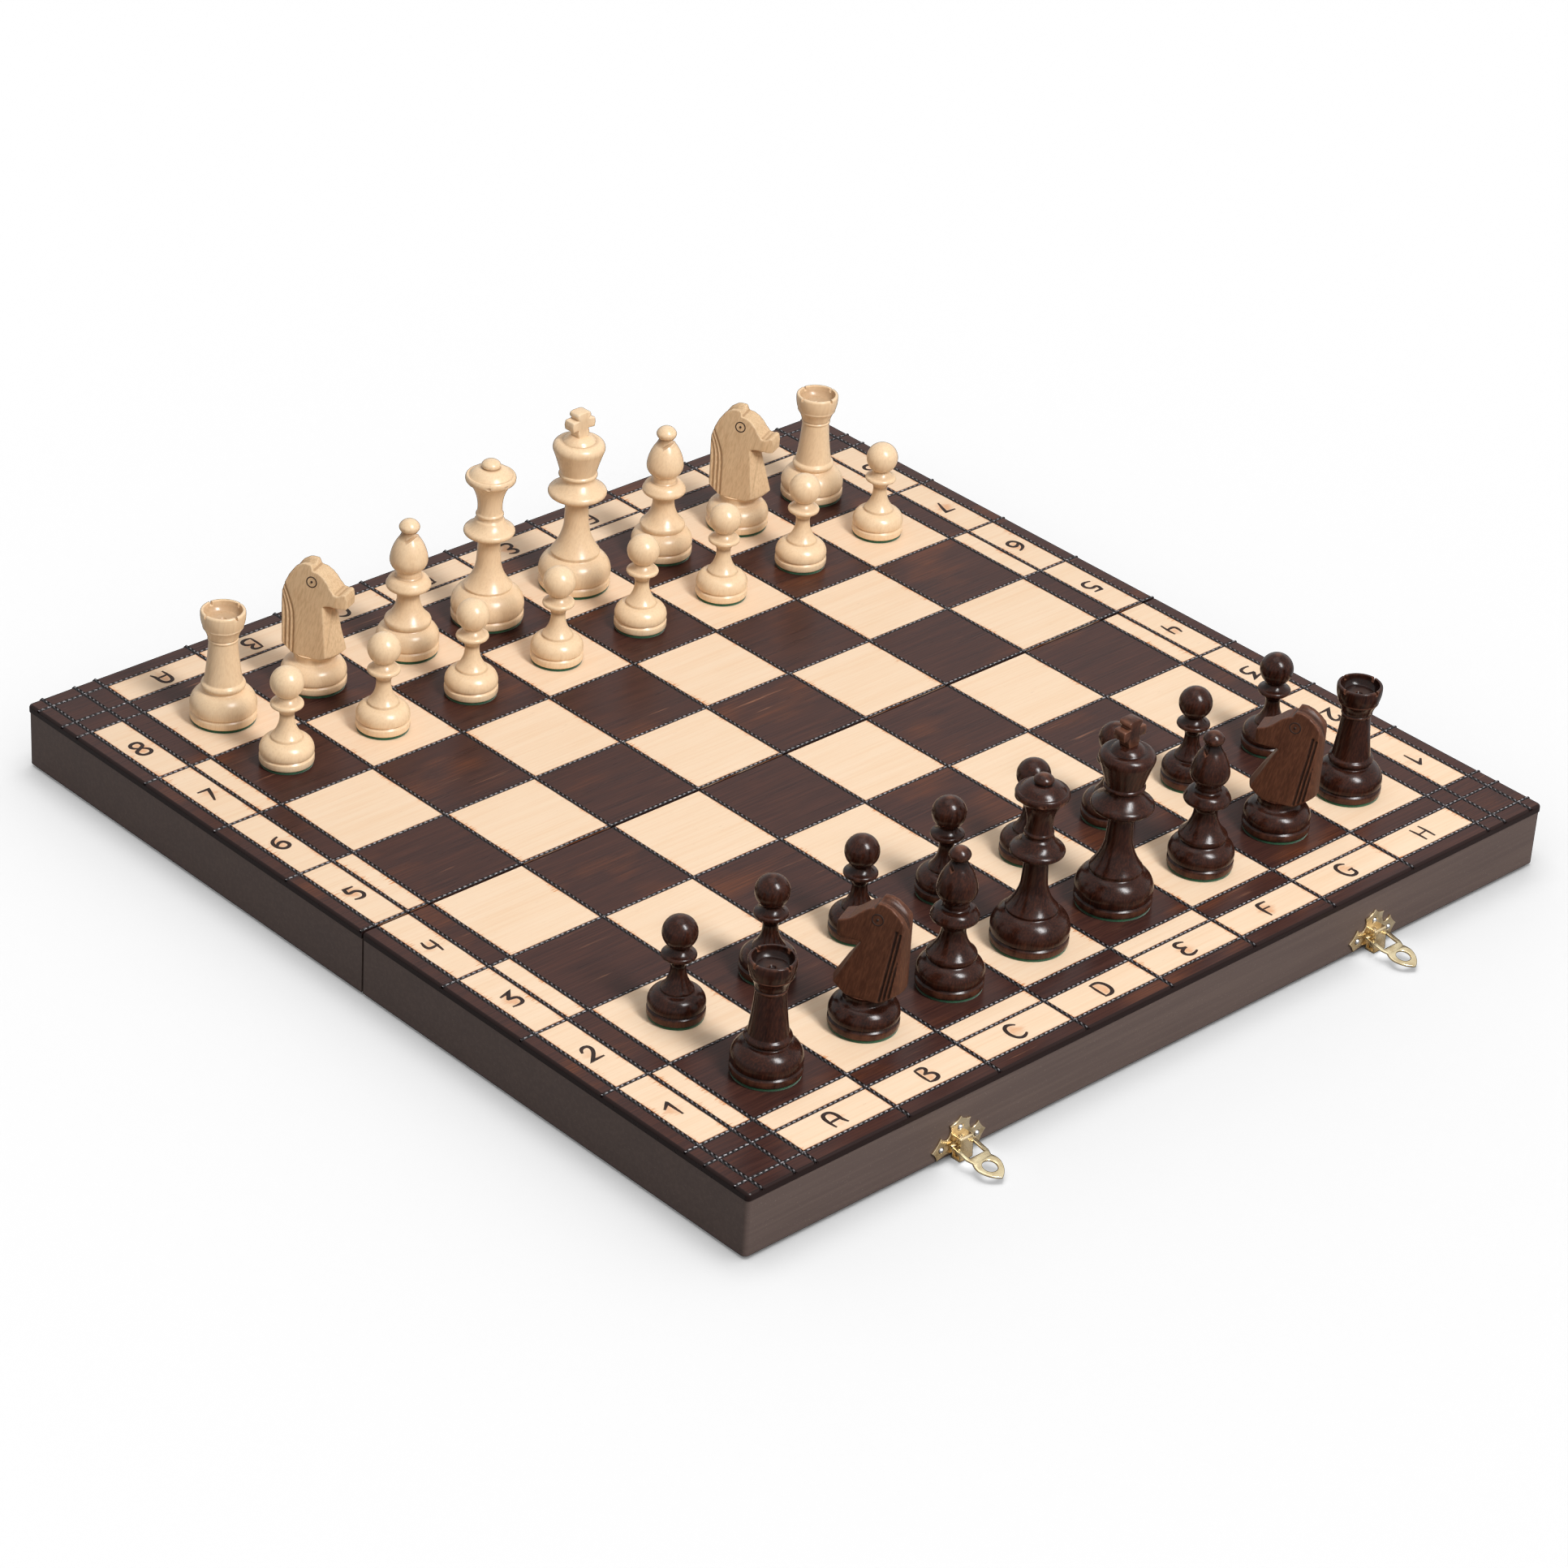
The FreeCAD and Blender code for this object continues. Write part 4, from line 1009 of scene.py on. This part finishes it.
# a knight's turned foot with its head on, the head's faces marked for the second finish
def horseMaster(colour):
    head = horseHead(colour)
    for face in head.faces:
        face.material_index = 1
    return asMesh(pour(markWear(turnedBody("knight")), markWear(head)))


def padSolid(kind):
    radius, thick = turnedMen["feet"][kind][0] - turnedMen["padInset"], turnedMen["pad"]
    return rod(radius, thick, 48, shift(0, 0, thick / 2), 0.25)


masters = {kind: menMaster(kind) for kind in profiles if kind != "knight"}
horses = {colour: horseMaster(colour) for colour in ("dark", "light")}
print("masters of the men made")
for name in sorted(nodes):
    if not name.startswith(("dark_", "light_")):
        continue
    colour, kind, _ = name.split("_")
    place, turn = axisPlace(name), menCuts.get(kind + "Turn", {}).get(colour, 0)
    master, finish = masters.get(kind), finishes[colour]
    if kind == "knight":
        master, finish = horses[colour], (finishes[colour], finishes[colour + "Head"])
        finishPiece(moved(horseEyes(colour), turn, place), name + "_eyes", name, finishes["eye"],
                    closed=False)
    finishPiece(moved(asBmesh(master), turn, place), name + "_turned", name, finish,
                replaced=(name,))
    finishPiece(moved(padSolid(kind), 0, place), name + "_felt", name, finishes["felt"])
print("men made")

latch = {
    "plateThickness": 0.8, "plateRound": 0.16,
    "plateTips": [(3.6, 1.2), (10.4, 0.4), (13.1, 4.6), (9.2, 9.4), (6, 7.5), (5, 12.8), (0, 15.2)],
    "plateBows": [(7.5, 1.3), (11.4, 2.6), (11, 6.6), (7.6, 7.9), (4.6, 9.6), (2.4, 13.3)],
    "nailHole": 1.25, "nailSpread": 8.7, "nailRow": 4.3, "topNailRise": 6.2,
    "bossWidth": 6.1, "bossTop": 8.4, "bossBottom": -1.2, "bossDepth": 4.4, "bossLean": 0.6, "bossSheet": 0.9,
    "bossRound": 1, "coreInset": 1.5,
    "pivotDepth": 2.1, "pivotHeight": 5.1, "barRadius": 0.7, "tilt": 11.3,
    "haspThickness": 0.8, "haspRound": 0.26, "frameHalf": 5.4, "windowHalf": 3.65, "windowReach": 7.9,
    "neckHalf": 4.5, "neckReach": 10.2, "tongueHalf": 5.45, "tongueReach": 14, "tipReach": 20.9,
    "shoulderSwell": 0.35, "ogive": 0.62, "eyeReach": 14.4, "eyeRadius": 2.9,
    "knobRadius": 2, "knobHead": 2.35, "knobLength": 3.6, "knobHeadLength": 1.2,
}


# a plate cut to closed outlines, holes among them, with rounded edges; it lies in XY, sizes in mm
def flatCut(outlines, thickness, rounding):
    curve = outlineCurve(outlines)
    curve.dimensions, curve.fill_mode = "2D", "BOTH"
    curve.extrude = (thickness / 2 - rounding) * mm
    curve.bevel_depth, curve.bevel_resolution, curve.offset = rounding * mm, 2, -rounding * mm
    return curveSolid(curve, 2e-6)


def ring(x, y, radius, steps=28):
    angles = [math.tau * k / steps for k in range(steps)]
    return [(x + radius * math.cos(angle), y + radius * math.sin(angle)) for angle in angles]


# the pressed plate, its middle at x = 0 and the rim at y = 0, with a nail hole each side and maybe one on top
def trefoil(topHole):
    tips, bows = latch["plateTips"], latch["plateBows"]
    right = [tips[0]]
    for start, bow, end in zip(tips, bows, tips[1:]):
        right += arcPoints(start, bow, end, 0.7)
    row, spread = latch["nailRow"], latch["nailSpread"]
    holes = [(-spread, row), (spread, row)] + [(0, row + latch["topNailRise"])] * topHole
    bm = flatCut([mirrored(right)] + [ring(x, y, latch["nailHole"]) for x, y in holes],
                 latch["plateThickness"], latch["plateRound"])
    return placed(bm, shift(0, 0, latch["plateThickness"] / 2))


# from a plate's own XY to an end wall's outer face
def standing(side, x, face, rim):
    turn = rotation(90, "X") if side < 0 else rotation(180, "Z") @ rotation(90, "X")
    return Matrix.Translation((x, face, rim)) @ turn


# a strap folded out from the wall and back under, over a core; x is outward, y up, z across
def bossParts():
    width, top, bottom, depth, lean, sheet, curl = (latch["boss" + key] for key in (
        "Width", "Top", "Bottom", "Depth", "Lean", "Sheet", "Round"))
    foot = depth + lean
    nose = [(depth - curl, top), (depth - 0.2, top - 0.15), (depth + 0.05, top - curl)]
    heel = [(depth + lean * 0.85, bottom + curl), (foot - 0.3, bottom + 0.2), (foot - curl, bottom)]
    outer = [(0.3, top), nose[0], *arcPoints(*nose, 0.3), heel[0], *arcPoints(*heel, 0.3), (0.3, bottom)]
    inner = [(0.9, top - sheet), (depth - sheet - 0.2, top - sheet), (foot - sheet, bottom + sheet),
             (0.9, bottom + sheet)]
    core = [(0.3, top - 0.4), (depth - 0.7, top - 0.4), (foot - 0.7, bottom + 0.5), (0.3, bottom + 0.5)]
    return joined([flatCut([outer, inner], width, 0.2), flatCut([core], width - latch["coreInset"], 0.1)])


# frame, neck and eyed tongue, flat, reaching along -Y from the bar
def haspPlate():
    bar, frameHalf, windowHalf, window, neckHalf, neck, tongueHalf, tongue, tip, full = (
        latch[key] for key in ("barRadius", "frameHalf", "windowHalf", "windowReach", "neckHalf", "neckReach",
                               "tongueHalf", "tongueReach", "tipReach", "ogive"))
    swell = ((neckHalf + tongueHalf) / 2 + latch["shoulderSwell"], -(neck + tongue) / 2)
    bow = (tongueHalf * full, -(tongue + (tip - tongue) * full))
    right = [(frameHalf, bar), (frameHalf, -window), (neckHalf, -neck)]
    right += arcPoints((neckHalf, -neck), swell, (tongueHalf, -tongue), 0.6)
    right += arcPoints((tongueHalf, -tongue), bow, (0, -tip), 0.6)
    opening = [(-windowHalf, -2 * bar), (windowHalf, -2 * bar), (windowHalf, -window), (-windowHalf, -window)]
    plate = flatCut([mirrored(right), opening, ring(0, -latch["eyeReach"], latch["eyeRadius"], 36)],
                    latch["haspThickness"], latch["haspRound"])
    return joined([plate, rod(bar, 2 * frameHalf, 20, rotation(90, "Y"), 0.15)])


# the height of a catch's knob, from the points of its node that stand farthest out
def knobHeight():
    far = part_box("catch_plates")[1].y
    return midpoint([vert.co.z for vert in nodes["catch_plates"].data.vertices if vert.co.y > far - 0.2 * mm])


def knob():
    radius, head, length = latch["knobRadius"], latch["knobHead"], latch["knobLength"]
    neck = length - latch["knobHeadLength"]
    points = [(0, 0), (radius, 0), (radius, neck), (head, neck), (head, length - 0.3), (head - 0.5, length),
              (0, length)]
    return turned(points, 32, 50, 0.12)


def finishBrass(parts, name, body, finish, node):
    finishPiece(joined(map(facedOut, parts)), name, body, finishes[finish], smoothAngle=35,
                replaced=(node,), closed=False)


latchParts, haspParts, catchParts = [], {}, []
outward = Matrix(((0, 0, 1, 0), (-1, 0, 0, 0), (0, 1, 0, 0), (0, 0, 0, 1)))     # along -Y, and across along X
for hasp in ("left_hasp", "right_hasp"):
    low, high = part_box(hasp)
    x = (low.x + high.x) / 2
    face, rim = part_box("near_front_wall")[0].y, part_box("near_front_wall")[0].z
    latchParts += [placed(trefoil(True), standing(-1, x, face, rim)),
                   placed(bossParts(), outward, Matrix.Translation((x, face, rim)))]
    pivot = Matrix.Translation((x, face - latch["pivotDepth"] * mm, rim + latch["pivotHeight"] * mm))
    haspParts[hasp] = [placed(haspPlate(), pivot @ rotation(latch["tilt"], "X"))]
    face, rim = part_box("far_back_wall")[1].y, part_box("far_back_wall")[0].z
    catchParts += [placed(trefoil(False), standing(1, x, face, rim)),
                   placed(knob(), standing(1, x, face, knobHeight()))]
finishBrass(latchParts, "latch_plates_pressed", "near_half", "brass", "latch_plates")
for hasp, parts in haspParts.items():
    finishBrass(parts, hasp + "_stamped", hasp, "haspBrass", hasp)
finishBrass(catchParts, "catch_plates_pressed", "far_half", "brass", "catch_plates")
print("latches and catches made")

view = {
    "azimuth": -44.7241, "elevation": 30.809, "roll": 3.7484, "distance": 1.8882, "lens": 113.69,
    "lookX": -0.01557, "lookFromSeam": -0.01637,
}


def makeStage():
    material = bpy.data.materials.new("paleFloor")
    material.use_nodes = True
    feed(shaderOf(material), {"Base Color": (0.9, 0.9, 0.9, 1), "Roughness": 0.8})
    bm = bmesh.new()
    bmesh.ops.create_grid(bm, x_segments=1, y_segments=1, size=4)
    floor = added("floor", asMesh(bm))
    floor.data.materials.append(material)
    floor.is_shadow_catcher = True
    return floor


def makeWorld():
    world = bpy.data.worlds.new("studio")
    bpy.context.scene.world = world
    world.use_nodes = True
    camera, glass, mirror = (put(world.node_tree, "ShaderNodeLightPath", output=ray) for ray in
                             ("Is Camera Ray", "Is Transmission Ray", "Is Glossy Ray"))
    strength = ranged(most(most(camera, glass), mirror), 0, 1, 0.3, 1)
    feed(world.node_tree.nodes["Background"], {"Color": (1, 1, 1, 1), "Strength": strength})


def makeLamp(name, place, size, power):
    lamp = bpy.data.lights.new(name, "AREA")
    lamp.shape, lamp.energy = "RECTANGLE", power
    lamp.size, lamp.size_y = size
    holder = added(name, lamp)
    holder.location = place
    holder.rotation_euler = (Vector((0, seamY, topZ)) - Vector(place)).to_track_quat("-Z", "Y").to_euler()
    return holder


def makeCamera():
    camera = bpy.data.cameras.new("camera")
    camera.lens, camera.sensor_width = view["lens"], 36
    camera.clip_start, camera.clip_end = 0.1, 20
    azimuth, elevation = math.radians(view["azimuth"]), math.radians(view["elevation"])
    back = Vector((math.sin(azimuth) * math.cos(elevation), -math.cos(azimuth) * math.cos(elevation),
                   math.sin(elevation)))
    target = Vector((view["lookX"], seamY + view["lookFromSeam"], topZ))
    turn = (-back).to_track_quat("-Z", "Y").to_matrix().to_4x4() @ rotation(view["roll"], "Z")
    holder = added("camera", camera)
    holder.matrix_world = Matrix.Translation(target + back * view["distance"]) @ turn
    bpy.context.scene.camera = holder


floor = makeStage()
makeWorld()
keyLamp = makeLamp("keyLamp", (0, -1.4, 1.7), (0.4, 1), 40)
gleamLamp = makeLamp("gleamLamp", (0, -1.4, 1.7), (0.4, 1), 80)
gleamLamp.visible_diffuse = False                        # only the shine on varnish
brassPieces = [bpy.data.objects[name] for name in
               ("latch_plates_pressed", "left_hasp_stamped", "right_hasp_stamped", "catch_plates_pressed")]
# the floor keeps only its soft shadow, and the brass needs no second shine
for lamp, leftOut in ((keyLamp, [floor]), (gleamLamp, [floor] + brassPieces)):
    apart = bpy.data.collections.new(lamp.name + "LeavesOut")
    for item in leftOut:
        apart.objects.link(item)
    for entry in apart.collection_objects:
        entry.light_linking.link_state = "EXCLUDE"
    lamp.light_linking.receiver_collection = apart
makeLamp("topLamp", (0.1, 0.2, 2.2), (1.5, 1.5), 10)
makeCamera()
bpy.context.scene.view_settings.view_transform = "Standard"
print("stage, lamps and camera set")
